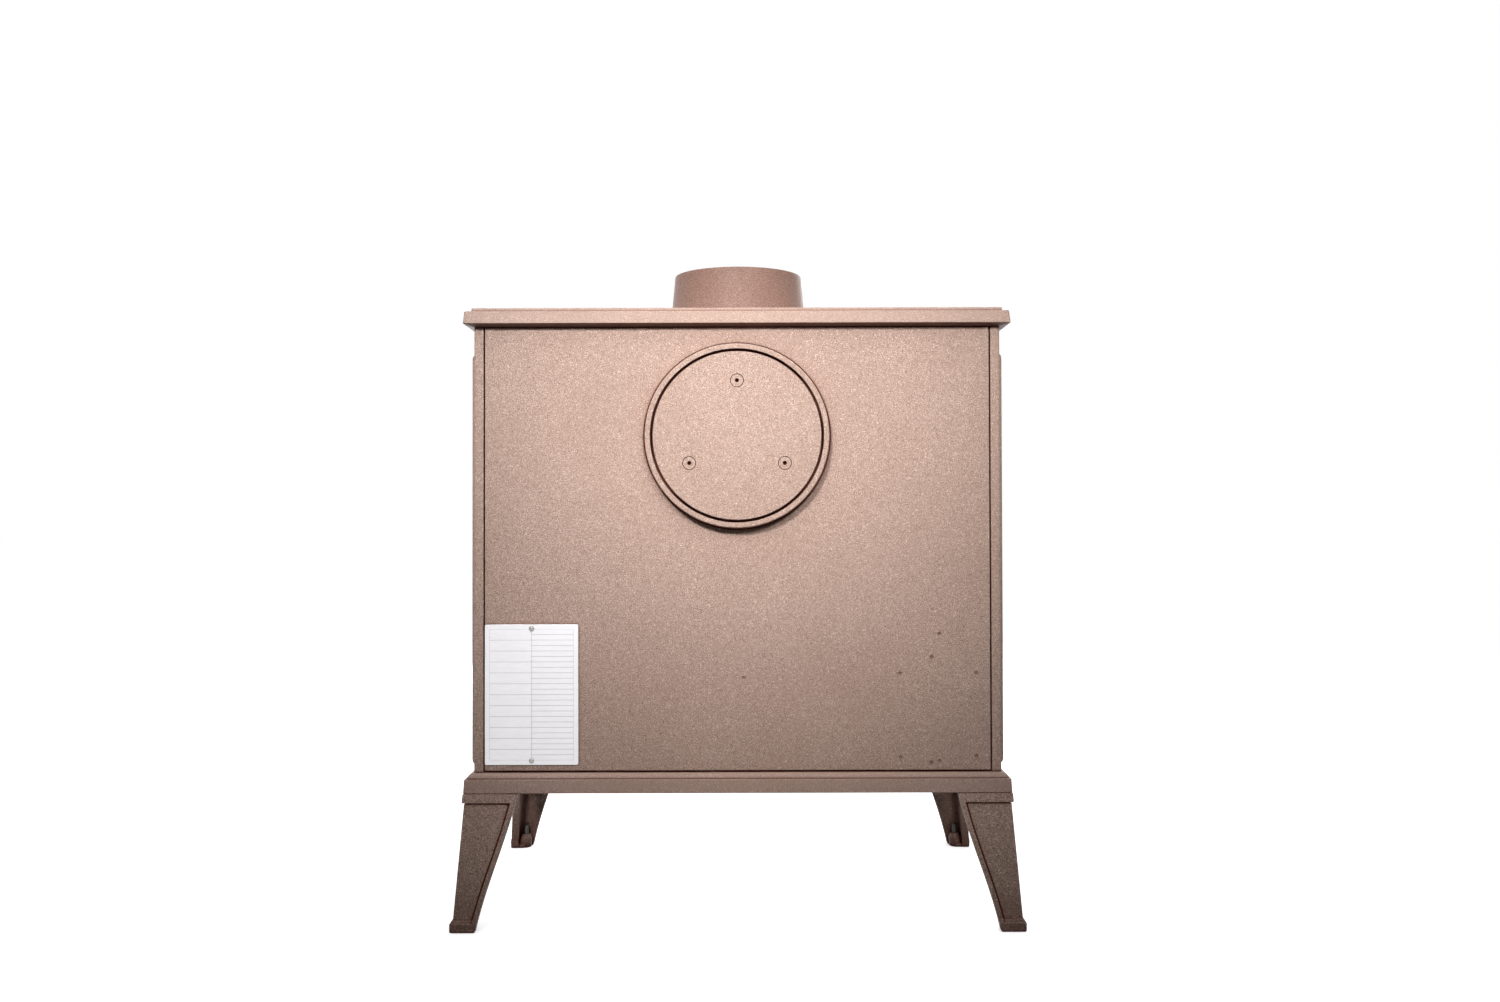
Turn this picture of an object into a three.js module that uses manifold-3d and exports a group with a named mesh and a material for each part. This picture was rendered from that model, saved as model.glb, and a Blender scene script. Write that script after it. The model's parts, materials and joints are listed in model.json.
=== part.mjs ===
// A cast iron wood stove on four legs, made of separate castings, plates, liners and fasteners.
// Millimetres, +Z up. The door faces -Y, +X is on the right of someone who looks at the door,
// and the origin is on the floor below the middle of the stove's overall length and width.
import * as THREE from 'three';
import { mergeVertices } from 'three/addons/utils/BufferGeometryUtils.js';
import Module from 'manifold-3d';

const wasm = await Module();
wasm.setup();

// Clearances
const SEAT = 0.3; // between pieces that are cemented, bolted or laid on each other
const SLIP = 0.4; // round a piece that slides or turns
const OVERCUT = 1; // how far a cut runs past the face it opens

// Roundness of turned shapes
const LARGE_SIDES = 64;
const MEDIUM_SIDES = 20;
const SMALL_SIDES = 12;
const HEXAGON = 6;
const CORNER_STEPS = 4;

// Body
const BODY_WIDTH = 559.2;
const BODY_DEPTH = 362;
const BODY_HEIGHT = 472.2;
const WALL = 8; // thickness of the cast plates
const CORNER_RADIUS = 3; // upright outer corners of the side plates
const SIDE_STRIP = 10.4; // edge of a side plate that shows beside the front and rear plates
const PANEL_GROOVE = 1.2; // dark line round the front and rear plates
const REBATE_WIDTH = 12; // ledge of a side plate that the front and rear plates lean on
const REBATE_DEPTH = 9;
const FIELD_RAISE = 3; // raised field on the outside of a side plate
const FIELD_SIDE_MARGIN = 9;
const FIELD_TOP_MARGIN = 26;
const FIELD_BOTTOM_MARGIN = 5;

// Base plate
const BASE_HEIGHT = 20.5;
const BASE_OVERHANG = 9; // beyond the body, at the top of the band
const BASE_FLARE = 0.9; // how much further the foot of the band stands out
const BEAD_HEIGHT = 6;
const BEAD_WIDTH = 5;
const DECK = 8; // thickness between the rims
const RIM = 8;
const LEG_PAD = 52; // side of the solid corner that a leg is bolted to

// Top plate
const TOP_OVERHANG = 10.4; // beyond the body, at the foot of the band
const TOP_COVE = 2.7; // height of the undercut between the body and the band
const TOP_BAND = 13;
const TOP_BAND_LEAN = 1.4; // how much less the top of the band stands out
const TOP_FIELD_RAISE = 4.2;
const TOP_FIELD_OVERHANG = 2.6;
const TOP_CEILING = 12; // depth of the hollow below the top plate
const TOP_RIM = 18; // rim that sits on the body, from the body's outer faces inwards

// Flue outlets, one in the top plate and one in the rear plate
const OUTLET_DROP = 116.3; // centre of the rear outlet below the top of the body
const RING_RADIUS = 97.4;
const RING_DRAFT = 1;
const RING_EDGE = 0.9;
const RECESS_RADIUS = 91.8;
const DISC_RADIUS = 89.1;
const DISC_THICKNESS = 8;
const REAR_RING_RAISE = 12;
const TOP_RING_RAISE = 8;
const OUTLET_BORE = 72;
const LUG_RADIUS = 9;
const LUG_THICKNESS = 10;
const SCREW_CIRCLE = 58.2; // radius of the circle that the three screws are on
const SCREW_COUNT = 3;

// Flue collar
const COLLAR_HEIGHT = 56; // above its flange
const COLLAR_FOOT_RADIUS = 80;
const COLLAR_RIM_RADIUS = 74.8;
const COLLAR_WALL = 5;
const COLLAR_ROUND = 2.4;

// Countersunk socket screws of the collar and the blanking plate
const SCREW_HEAD_RADIUS = 6.6;
const SCREW_SHANK_RADIUS = 3;
const SCREW_LENGTH = 16;
const SCREW_RIM = 0.4;
const SOCKET_RADIUS = 2.2;
const SOCKET_DEPTH = 3;

// Data plate
const DATA_WIDTH = 99;
const DATA_HEIGHT = 148.5;
const DATA_THICKNESS = 0.8;
const DATA_FOOT = 7.8; // above the foot of the body
const DATA_SCREW_INSET = 4.6;
const DATA_SCREW_RADIUS = 2.8;
const DATA_SCREW_SHANK = 1.4;
const DATA_SCREW_LENGTH = 6;
const DATA_SCREW_HEAD = 1.7;
const DATA_CORNER = 1;

// Legs
const LEG_HEIGHT = 143; // floor to base plate
const LEG_OVERHANG = 10.2; // beyond the body, at the top
const LEG_SPLAY = 0.08; // outward lean for each millimetre of height
const LEG_TOP_WIDTH = 57.6;
const LEG_ANKLE_WIDTH = 26.5;
const LEG_CURVE = 0.4; // 0 is a straight inner edge, 1 is a full S curve
const LEG_WALL = 9.4;
const LEG_BAND = 12;
const LEG_PANEL_DEPTH = 1.6;
const LEG_RIDGE = 4.5; // ridge along the inner edge of the recessed panel
const LEG_RIDGE_SLOPE = 0.8;
const LEG_FLANGE = 7; // thickness of the flange below the base plate
const TOE_HEIGHT = 12;
const TOE_COVE = 5;
const TOE_ROUND = 1.5;
const SOLE = 5;
const BOSS_RADIUS = 9.5;
const BOSS_HEIGHT = 18;
const BOSS_CHAMFER = 2;
const BOSS_INSET = 19; // from the outer faces of the toe
const LEVEL_SCREW_RADIUS = 3.4;
const LEVEL_SCREW_LENGTH = 30;
const LEVEL_SCREW_LIFT = 0.6; // its tip above the floor when it is screwed in
const LEVEL_SLOT_WIDTH = 1.2;
const LEVEL_SLOT_DEPTH = 2;
const LEG_BOLT_INSET = 32; // from the outer faces of the leg
const LEG_BOLT_RADIUS = 4;
const LEG_BOLT_HEAD_RADIUS = 7.5;
const LEG_BOLT_HEAD_HEIGHT = 5.5;
const LEG_BOLT_GRIP = 15; // length inside the base plate

// Tie bolts, which hold the top plate down on the base plate
const ROD_RADIUS = 4;
const ROD_WALL_GAP = 2; // between a bolt and the side plate
const ROD_INSET = 76; // from the front and rear faces of the body
const ROD_TOP_GRIP = 12; // length inside the top plate
const ROD_HEAD_RADIUS = 7.2;
const ROD_HEAD_HEIGHT = 6.5;
const ROD_PAD_RADIUS = 8; // pad of the top plate that the bolt is screwed into

// Ash drawer and its opening
const ASH_OPENING_WIDTH = 320;
const ASH_OPENING_HEIGHT = 48;
const ASH_OPENING_LIFT = 10; // above the foot of the body
const DRAWER_SIDE_GAP = 10;
const DRAWER_TOP_GAP = 5;
const DRAWER_SILL_GAP = 1.3;
const DRAWER_SHEET = 2;
const DRAWER_REAR_GAP = 54;
const DRAWER_LAP = 5; // cast front beyond the opening
const DRAWER_FRONT_THICKNESS = 8;
const DRAWER_MOULDING = 3;
const RUNNER_WIDTH = 8;
const RUNNER_SPACING = 228;
const DRAWER_KNOB_RADIUS = 11;
const DRAWER_KNOB_REACH = 26;
const DRAWER_KNOB_STEM = 2.5;

// Ash lip
const LIP_REACH = 55;
const LIP_WIDTH = 380;
const LIP_THICKNESS = 8;
const LIP_CORNER = 16;
const LIP_BORDER = 6;
const LIP_DISH = 2.5;

// Air slides
const AIR_SLOTS = 4;
const AIR_SLOT_WIDTH = 28;
const AIR_SLOT_HEIGHT = 6;
const AIR_SLOT_PITCH = 60;
const AIR_TRAVEL = 30;
const AIR_SLIDE_HEIGHT = 14;
const AIR_SLIDE_THICKNESS = 3;
const RAIL_HEIGHT = 4;
const RAIL_LIP = 2; // thickness of the lip, and how far it covers the slide
const RAIL_STOP = 6;
const ROW_GAP = 4; // between an air row and its neighbours on the front
const AIR_KNOB_RADIUS = 8.5;
const AIR_KNOB_REACH = 24;
const AIR_KNOB_STEM = 2;
const KNOB_SHARES = [ // shares of a knob's radius and of its reach, from its seat to its crown
  [0.58, 0], [0.45, 0.3], [0.5, 0.48], [0.92, 0.62], [1, 0.78], [0.86, 0.94], [0.5, 1],
];

// Door
const DOOR_SIDE_MARGIN = 52.6; // edge of the front plate to edge of the door
const DOOR_TOP_MARGIN = 38; // top of the body to top of the door
const DOOR_SIDE_LAP = 47; // door beyond its opening
const DOOR_END_LAP = 30;
const DOOR_GAP = 3; // between the door and the front plate, closed by the rope
const DOOR_THICKNESS = 16;
const DOOR_CORNER = 8;
const DOOR_MOULDING = 8;
const DOOR_EDGE = 1; // chamfer on the steps of the moulding
const STILE = 72; // door's edge to window at the sides
const RAIL = 55.5; // door's edge to window at the top and the foot
const WINDOW_FLARE = 7;
const GLASS_THICKNESS = 4;
const GLASS_LAP = 9; // of the glass behind the window's edge
const GLASS_SEAL = 1.6;
const GLASS_SEAL_WIDTH = 7;
const RETAINER_SHEET = 2.2; // frame that holds the glass in the door
const RETAINER_ON_GLASS = 6;
const RETAINER_ON_DOOR = 11;
const GLASS_SCREW_RADIUS = 2;
const GLASS_SCREW_HEAD = 3.8;
const GLASS_SCREW_HEAD_HEIGHT = 2.2;
const GLASS_SCREW_GRIP = 7;
const ROPE_INSET = 5; // channel beyond the door opening
const ROPE_CHANNEL = 9;
const ROPE_CHANNEL_DEPTH = 7;

// Hinges
const HINGE_OFFSET = 9; // pin beyond the edge of the door
const PIN_RADIUS = 4;
const PIN_SLIP = 0.3;
const KNUCKLE_RADIUS = 8;
const KNUCKLE_HEIGHT = 23;
const LUG_HEIGHT = 12;
const HINGE_SPACING = 220;
const PIN_HEAD_RADIUS = 5.5;
const PIN_HEAD_HEIGHT = 2.5;

// Door handle and latch
const HANDLE_INSET = 19; // shaft inwards from the edge of the door
const HANDLE_TURN = 35; // degrees from unlatched, its place at rest, to latched
const SHAFT_RADIUS = 4.5;
const HUB_RADIUS = 10;
const HUB_LENGTH = 13.6;
const ARM_LENGTH = 36;
const ARM_THICKNESS = 8;
const ARM_END_RADIUS = 7;
const POST_RADIUS = 5.5;
const GRIP_STAND_OFF = 32; // centre of the grip from the face of the door
const GRIP_LENGTH = 80;
const GRIP_RADIUS = 8.5;
const GRIP_NECK = 6;
const GRIP_SHARES = [ // shares of the grip's radius and of its length, from its foot to its neck
  [0.6, 0], [0.92, 0.04], [1, 0.11], [0.94, 0.35], [0.82, 0.65], [0.74, 0.96],
];
const STUD_RADIUS = 3;
const TONGUE_LENGTH = 34;
const TONGUE_HALF_WIDTH = 6;
const TONGUE_THICKNESS = 4;
const TONGUE_CHAMFER = 1;
const POCKET_DEPTH = 9;
const POCKET_MARGIN = 3;
const TONGUE_HUB_RADIUS = 7.5;
const CATCH_GAP = 4; // between the door's edge and the catch
const CATCH_WIDTH = 20;
const CATCH_ABOVE = 7;
const CATCH_BELOW = 12;
const CATCH_THICKNESS = 4.5;
const CATCH_WEB = 7;

// Firebox
const HEARTH_DROP = 19; // hearth plate below the foot of the door opening
const HEARTH_THICKNESS = 10;
const HEARTH_LEDGE = 10;
const HEARTH_LEDGE_LENGTH = 160;
const GRATE_WIDTH = 260;
const GRATE_DEPTH = 160;
const GRATE_LAP = 6;
const GRATE_THICKNESS = 12;
const GRATE_BORDER = 10;
const GRATE_BARS = 11;
const GRATE_BAR = 9;
const LINER = 25; // thickness of the firebricks
const LINER_FRONT_GAP = 33; // between the front plate and the side liners
const LINER_RIB = 8;
const LINER_RIB_SPACING = 120;
const LINER_RIB_HEIGHT = 120;
const FENDER_HEIGHT = 46; // bars that keep logs off the glass
const FENDER_THICKNESS = 8;
const FENDER_BARS = 9;
const FENDER_RAIL = 9;
const BAFFLE_THICKNESS = 12;
const BAFFLE_CLEARANCE = 18; // below the bore of the rear outlet
const BAFFLE_RISE = 108; // from its rear edge to its front edge
const BAFFLE_FRONT_GAP = 73; // between the front plate and the baffle

// Places that follow from the sizes above
const halfWidth = BODY_WIDTH / 2;
const halfDepth = BODY_DEPTH / 2;
const deckTop = LEG_HEIGHT + BASE_HEIGHT;
const bodyFoot = deckTop + SEAT;
const bodyTop = deckTop + BODY_HEIGHT;
const wallInside = halfWidth - WALL;
const panelHalf = halfWidth - SIDE_STRIP - PANEL_GROOVE;
const panelInside = halfDepth - WALL;
const ledgeHalf = panelHalf - REBATE_WIDTH;
const linerFront = panelInside - LINER_FRONT_GAP;
const baffleFront = panelInside - BAFFLE_FRONT_GAP;
const rearSeat = panelInside - SLIP; // rear ends of the liners, the baffle and the hearth plate
const topFoot = bodyTop + SEAT;
const bandTop = topFoot + TOP_COVE + TOP_BAND;
const topSurface = bandTop + TOP_FIELD_RAISE;
const outletHeight = bodyTop - OUTLET_DROP;
const toeReach = LEG_OVERHANG + LEG_SPLAY * LEG_HEIGHT;
const ashFoot = bodyFoot + ASH_OPENING_LIFT;
const ashTop = ashFoot + ASH_OPENING_HEIGHT;
const railFace = halfDepth + AIR_SLIDE_THICKNESS + 2 * SLIP + RAIL_LIP;
const rowHalf = AIR_SLIDE_HEIGHT / 2 + SLIP + RAIL_HEIGHT;
const primaryHeight = ashTop + DRAWER_LAP + ROW_GAP + rowHalf;
const doorFoot = primaryHeight + rowHalf + ROW_GAP;
const doorTop = bodyTop - DOOR_TOP_MARGIN;
const secondaryHeight = doorTop + ROW_GAP + rowHalf;
const doorMiddle = (doorFoot + doorTop) / 2;
const doorHalfWidth = panelHalf - DOOR_SIDE_MARGIN;
const doorHalfHeight = (doorTop - doorFoot) / 2;
const doorBack = halfDepth + DOOR_GAP;
const doorFace = doorBack + DOOR_THICKNESS;
const openingHalfWidth = doorHalfWidth - DOOR_SIDE_LAP;
const openingHalfHeight = doorHalfHeight - DOOR_END_LAP;
const windowHalfWidth = doorHalfWidth - STILE;
const windowHalfHeight = doorHalfHeight - RAIL;
const glassHalfWidth = windowHalfWidth + GLASS_LAP;
const glassHalfHeight = windowHalfHeight + GLASS_LAP;
const hingeX = -(doorHalfWidth + HINGE_OFFSET);
const hingeReach = doorBack + DOOR_THICKNESS / 2 + 1;
const handleX = doorHalfWidth - HANDLE_INSET;
const pocketFloor = doorBack + POCKET_DEPTH;
const tongueBack = pocketFloor - SEAT - TONGUE_THICKNESS;
const hearthTop = doorMiddle - openingHalfHeight - HEARTH_DROP;
const hearthFoot = hearthTop - HEARTH_THICKNESS;
const hearthHalf = ledgeHalf - SLIP;
const baffleRear = outletHeight - OUTLET_BORE - BAFFLE_CLEARANCE;
const rodX = wallInside - ROD_WALL_GAP - ROD_RADIUS;
const rodY = halfDepth - ROD_INSET;
const drawerHalf = ASH_OPENING_WIDTH / 2 - DRAWER_SIDE_GAP;
const drawerFoot = ashFoot + DRAWER_SILL_GAP;
const drawerRear = panelInside - DRAWER_REAR_GAP;
const baseReach = halfDepth + BASE_OVERHANG + BASE_FLARE;
const frontReach = baseReach + LIP_REACH;
const rearReach = halfDepth + toeReach;

// Ways to stand a shape that is drawn on X and Y and rises along Z
const basis = (x, y, z) => new THREE.Matrix4().makeBasis(
  new THREE.Vector3(...x), new THREE.Vector3(...y), new THREE.Vector3(...z));
const UP = basis([1, 0, 0], [0, 1, 0], [0, 0, 1]);
const FRONT = basis([1, 0, 0], [0, 0, 1], [0, -1, 0]);
const REAR = basis([1, 0, 0], [0, 0, 1], [0, 1, 0]);
const SIDE = basis([0, 1, 0], [0, 0, 1], [1, 0, 0]);

// A closed three.js geometry as a solid that can be joined and cut, its faces turned outwards.
function solidOf(geometry, matrix = UP) {
  const placed = (geometry.index ? geometry.toNonIndexed() : geometry.clone()).applyMatrix4(matrix);
  const bare = new THREE.BufferGeometry().setAttribute('position', placed.getAttribute('position'));
  const merged = mergeVertices(bare, 1e-4);
  const make = (triVerts) => new wasm.Manifold(new wasm.Mesh({
    numProp: 3,
    vertProperties: merged.attributes.position.array,
    triVerts,
  }));
  const corners = Uint32Array.from(merged.index.array);
  const solid = make(corners);
  return solid.volume() > 0 ? solid : make(corners.reverse());
}

const join = (...solids) => solids.reduce((sum, solid) => sum.add(solid));
const cut = (solid, ...tools) => tools.reduce((rest, tool) => rest.subtract(tool), solid);

// Named mesh of a solid.
function piece(name, material, solid) {
  const { vertProperties, triVerts } = solid.getMesh();
  const geometry = new THREE.BufferGeometry();
  geometry.setAttribute('position', new THREE.BufferAttribute(vertProperties, 3));
  geometry.setIndex(new THREE.BufferAttribute(triVerts, 1));
  const mesh = new THREE.Mesh(geometry, material);
  mesh.name = name;
  return mesh;
}

// Box between two values on each axis.
function block([x0, x1], [y0, y1], [z0, z1]) {
  const geometry = new THREE.BoxGeometry(Math.abs(x1 - x0), Math.abs(y1 - y0), Math.abs(z1 - z0));
  geometry.translate((x0 + x1) / 2, (y0 + y1) / 2, (z0 + z1) / 2);
  return solidOf(geometry);
}

// Outline of [x, y] points pushed from one height to another.
function prism(outline, from, to, frame = UP) {
  const shape = new THREE.Shape(outline.map(([x, y]) => new THREE.Vector2(x, y)));
  const geometry = new THREE.ExtrudeGeometry(shape, { depth: to - from, bevelEnabled: false });
  geometry.translate(0, 0, from);
  return solidOf(geometry, frame);
}

// Profile of [radius, height] points turned round an upright axis at the centre.
function turned(profile, frame = UP, [x, y] = [0, 0], sides = SMALL_SIDES) {
  const points = profile.map(([radius, height]) => new THREE.Vector2(radius, height));
  const geometry = new THREE.LatheGeometry(points, sides);
  geometry.rotateX(Math.PI / 2);
  geometry.translate(x, y, 0);
  return solidOf(geometry, frame);
}

const rod = (radius, from, to, frame, centre, sides) => turned(
  [[0, from], [radius, from], [radius, to], [0, to]], frame, centre, sides);

// Stack of outlines with equal numbers of points, each at its own height, as one closed solid.
// The point at index hub sees every other point of the end outlines.
function loft(layers, frame = UP, hub = 0) {
  const count = layers[0].outline.length;
  const last = (layers.length - 1) * count;
  const positions = layers.flatMap(({ outline, height }) => outline.flatMap(([x, y]) => [x, y, height]));
  const triangles = [];
  for (let point = 0; point < count; point++) {
    const next = (point + 1) % count;
    for (let low = 0; low < last; low += count) {
      triangles.push(low + point, low + next, low + count + next);
      triangles.push(low + point, low + count + next, low + count + point);
    }
    if (point !== hub && next !== hub) {
      triangles.push(hub, next, point);
      triangles.push(last + hub, last + point, last + next);
    }
  }
  const geometry = new THREE.BufferGeometry();
  geometry.setAttribute('position', new THREE.Float32BufferAttribute(positions, 3));
  geometry.setIndex(triangles);
  return solidOf(geometry, frame);
}

// Rectangle with rounded corners round a centre.
function roundedRectangle(halfX, halfY, radius, [x, y] = [0, 0]) {
  const points = [];
  for (let corner = 0; corner < 4; corner++) {
    const signX = corner === 0 || corner === 3 ? 1 : -1;
    const signY = corner < 2 ? 1 : -1;
    for (let step = 0; step <= CORNER_STEPS; step++) {
      const angle = (corner + step / CORNER_STEPS) * Math.PI / 2;
      points.push([
        x + signX * (halfX - radius) + radius * Math.cos(angle),
        y + signY * (halfY - radius) + radius * Math.sin(angle),
      ]);
    }
  }
  return points;
}

// Layers of a moulded plate from [overhang, height] pairs.
const moulding = (halfX, halfY, radius, steps, centre) => steps.map(([overhang, height]) => ({
  outline: roundedRectangle(halfX + overhang, halfY + overhang, radius, centre),
  height,
}));

// Points of a circle of screws, the first one above the centre.
function circle(radius, count) {
  return Array.from({ length: count }, (_, index) => {
    const angle = Math.PI / 2 + index * 2 * Math.PI / count;
    return [radius * Math.cos(angle), radius * Math.sin(angle), angle];
  });
}

// Points of a rounded end from its rim to its crown.
function dome(radius, base, rise) {
  return Array.from({ length: CORNER_STEPS + 1 }, (_, step) => {
    const angle = step / CORNER_STEPS * Math.PI / 2;
    return [radius * Math.cos(angle), base + rise * Math.sin(angle)];
  });
}

const material = (color, roughness, metalness) => (
  new THREE.MeshStandardMaterial({ color, roughness, metalness }));
const paintedIron = material(0x82695f, 0.55, 0.35);
const bareIron = material(0x3b3836, 0.75, 0.6);
const steel = material(0x8c8c8a, 0.35, 0.9);
const darkSteel = material(0x45413f, 0.45, 0.8);
const aluminium = material(0xd9dadd, 0.45, 0.5);
const firebrick = material(0xc9b48e, 0.95, 0);
const rope = material(0xb9b5ab, 0.95, 0);
const wood = material(0x3a2418, 0.5, 0);
const ceramicGlass = new THREE.MeshStandardMaterial({
  color: 0x2a2422, roughness: 0.05, metalness: 0, transparent: true, opacity: 0.35,
});

// Outlet ring, recess, bore and lugs, the same for the top plate and the rear plate
const outletFloor = (face, raise) => face + raise - DISC_THICKNESS - SEAT;

function withOutlet(plate, face, raise, frame, centre) {
  const [x, y] = centre;
  const floor = outletFloor(face, raise);
  const crown = face + raise;
  const ring = turned([
    [0, face - OVERCUT],
    [RING_RADIUS + RING_DRAFT, face - OVERCUT],
    [RING_RADIUS + RING_DRAFT, face],
    [RING_RADIUS, crown - RING_EDGE],
    [RING_RADIUS - RING_EDGE, crown],
    [0, crown],
  ], frame, centre, LARGE_SIDES);
  const recess = rod(RECESS_RADIUS, floor, crown + OVERCUT, frame, centre, LARGE_SIDES);
  const bore = rod(OUTLET_BORE, floor - LUG_THICKNESS - WALL, crown, frame, centre, LARGE_SIDES);
  const lugs = outletLugs(floor - LUG_THICKNESS, floor, OUTLET_BORE + OVERCUT, frame, centre);
  const holes = circle(SCREW_CIRCLE, SCREW_COUNT).map(([dx, dy]) => rod(
    SCREW_SHANK_RADIUS + SLIP, floor - LUG_THICKNESS - OVERCUT, crown, frame, [x + dx, y + dy]));
  return cut(join(cut(join(plate, ring), recess, bore), lugs), ...holes);
}

// Three lugs that reach in from a bore to the circle of screws.
function outletLugs(from, to, reach, frame, [x, y] = [0, 0]) {
  return join(...circle(1, SCREW_COUNT).map(([cos, sin]) => {
    const place = (along, across) => [x + along * cos - across * sin, y + along * sin + across * cos];
    const arm = prism([
      place(SCREW_CIRCLE, -LUG_RADIUS),
      place(reach, -LUG_RADIUS),
      place(reach, LUG_RADIUS),
      place(SCREW_CIRCLE, LUG_RADIUS),
    ], from, to, frame);
    return join(arm, rod(LUG_RADIUS, from, to, frame, place(SCREW_CIRCLE, 0)));
  }));
}

// Countersunk hole for a socket screw whose head is flush with the face.
function countersink(face, depth, frame, centre) {
  const head = SCREW_HEAD_RADIUS + SLIP;
  const shank = SCREW_SHANK_RADIUS + SLIP;
  return turned([
    [0, face - depth],
    [shank, face - depth],
    [shank, face - SCREW_RIM - SLIP - (head - shank)],
    [head, face - SCREW_RIM - SLIP],
    [head, face + OVERCUT],
    [0, face + OVERCUT],
  ], frame, centre);
}

function socketScrews(name, face, frame, [x, y]) {
  return circle(SCREW_CIRCLE, SCREW_COUNT).map(([dx, dy], index) => {
    const centre = [x + dx, y + dy];
    const screw = turned([
      [0, face - SCREW_LENGTH],
      [SCREW_SHANK_RADIUS, face - SCREW_LENGTH],
      [SCREW_SHANK_RADIUS, face - SCREW_RIM - (SCREW_HEAD_RADIUS - SCREW_SHANK_RADIUS)],
      [SCREW_HEAD_RADIUS, face - SCREW_RIM],
      [SCREW_HEAD_RADIUS, face],
      [0, face],
    ], frame, centre);
    const socket = rod(SOCKET_RADIUS, face - SOCKET_DEPTH, face + OVERCUT, frame, centre, HEXAGON);
    return piece(`${name}_${index + 1}`, paintedIron, cut(screw, socket));
  });
}

// Body
function sidePlate(name, side) {
  const ledgeFace = panelInside - SEAT;
  const ledgeBack = ledgeFace - REBATE_DEPTH;
  const half = [[halfWidth, halfDepth - CORNER_RADIUS]];
  for (let step = 1; step <= CORNER_STEPS; step++) {
    const angle = step / CORNER_STEPS * Math.PI / 2;
    half.push([
      halfWidth - CORNER_RADIUS * (1 - Math.cos(angle)),
      halfDepth - CORNER_RADIUS * (1 - Math.sin(angle)),
    ]);
  }
  const strip = halfWidth - SIDE_STRIP;
  half.push([strip, halfDepth], [strip, ledgeFace], [ledgeHalf, ledgeFace]);
  half.push([ledgeHalf, ledgeBack], [wallInside, ledgeBack]);
  const outline = [...half, ...half.map(([x, y]) => [x, -y]).reverse()];
  const plate = prism(outline, bodyFoot, bodyTop);

  const fieldFoot = bodyFoot + FIELD_BOTTOM_MARGIN;
  const fieldTop = bodyTop - FIELD_TOP_MARGIN;
  const field = loft(moulding(
    halfDepth - FIELD_SIDE_MARGIN,
    (fieldTop - fieldFoot) / 2,
    CORNER_RADIUS,
    [[0, halfWidth - OVERCUT], [0, halfWidth], [-FIELD_RAISE / 2, halfWidth + FIELD_RAISE]],
    [0, (fieldTop + fieldFoot) / 2],
  ), SIDE);

  const ledge = block(
    [hearthHalf - HEARTH_LEDGE, wallInside + OVERCUT],
    [-HEARTH_LEDGE_LENGTH / 2, HEARTH_LEDGE_LENGTH / 2],
    [hearthFoot - SEAT - HEARTH_LEDGE, hearthFoot - SEAT]);
  const ribs = [-1, 1].map((end) => {
    const middle = end * LINER_RIB_SPACING / 2;
    return block(
      [hearthHalf + SEAT, wallInside + OVERCUT],
      [middle - LINER_RIB / 2, middle + LINER_RIB / 2],
      [hearthTop, hearthTop + LINER_RIB_HEIGHT]);
  });
  const mesh = piece(name, paintedIron, join(plate, field, ledge, ...ribs));
  mesh.scale.x = side;
  return mesh;
}

function rearPlate() {
  const plate = block(
    [-panelHalf, panelHalf],
    [panelInside, halfDepth],
    [bodyFoot + PANEL_GROOVE, bodyTop]);
  const holes = dataScrewPlaces().map((place) => rod(
    DATA_SCREW_SHANK + SEAT, panelInside - OVERCUT, halfDepth + OVERCUT, REAR, place));
  return piece('rear_plate', paintedIron, cut(
    withOutlet(plate, halfDepth, REAR_RING_RAISE, REAR, [0, outletHeight]), ...holes));
}

function blankingPlate() {
  const face = halfDepth + REAR_RING_RAISE;
  const disc = turned([
    [0, face - DISC_THICKNESS],
    [DISC_RADIUS, face - DISC_THICKNESS],
    [DISC_RADIUS, face - RING_EDGE],
    [DISC_RADIUS - RING_EDGE, face],
    [0, face],
  ], REAR, [0, outletHeight], LARGE_SIDES);
  const holes = circle(SCREW_CIRCLE, SCREW_COUNT).map(([dx, dy]) => countersink(
    face, DISC_THICKNESS + OVERCUT, REAR, [dx, outletHeight + dy]));
  return piece('blanking_plate', paintedIron, cut(disc, ...holes));
}

function topPlate() {
  const bandFoot = topFoot + TOP_COVE;
  const lean = TOP_OVERHANG - TOP_BAND_LEAN;
  const outside = loft(moulding(halfWidth, halfDepth, CORNER_RADIUS, [
    [0, topFoot],
    [TOP_OVERHANG, bandFoot],
    [lean, bandTop - RING_EDGE],
    [lean - RING_EDGE, bandTop],
    [TOP_FIELD_OVERHANG + TOP_FIELD_RAISE / 3, bandTop],
    [TOP_FIELD_OVERHANG, topSurface],
  ]));
  const hollow = block(
    [TOP_RIM - halfWidth, halfWidth - TOP_RIM],
    [TOP_RIM - halfDepth, halfDepth - TOP_RIM],
    [topFoot - OVERCUT, topFoot + TOP_CEILING]);
  const rodHoles = rodPlaces().map((place) => rod(
    ROD_RADIUS + SLIP, topFoot - OVERCUT, topFoot + ROD_TOP_GRIP + SEAT, UP, place));
  const pads = rodPlaces().map((place) => rod(
    ROD_PAD_RADIUS, topFoot, topFoot + TOP_CEILING + OVERCUT, UP, place));
  const plate = cut(join(cut(outside, hollow), ...pads), ...rodHoles);
  return piece('top_plate', paintedIron, withOutlet(plate, topSurface, TOP_RING_RAISE, UP, [0, 0]));
}

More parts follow.
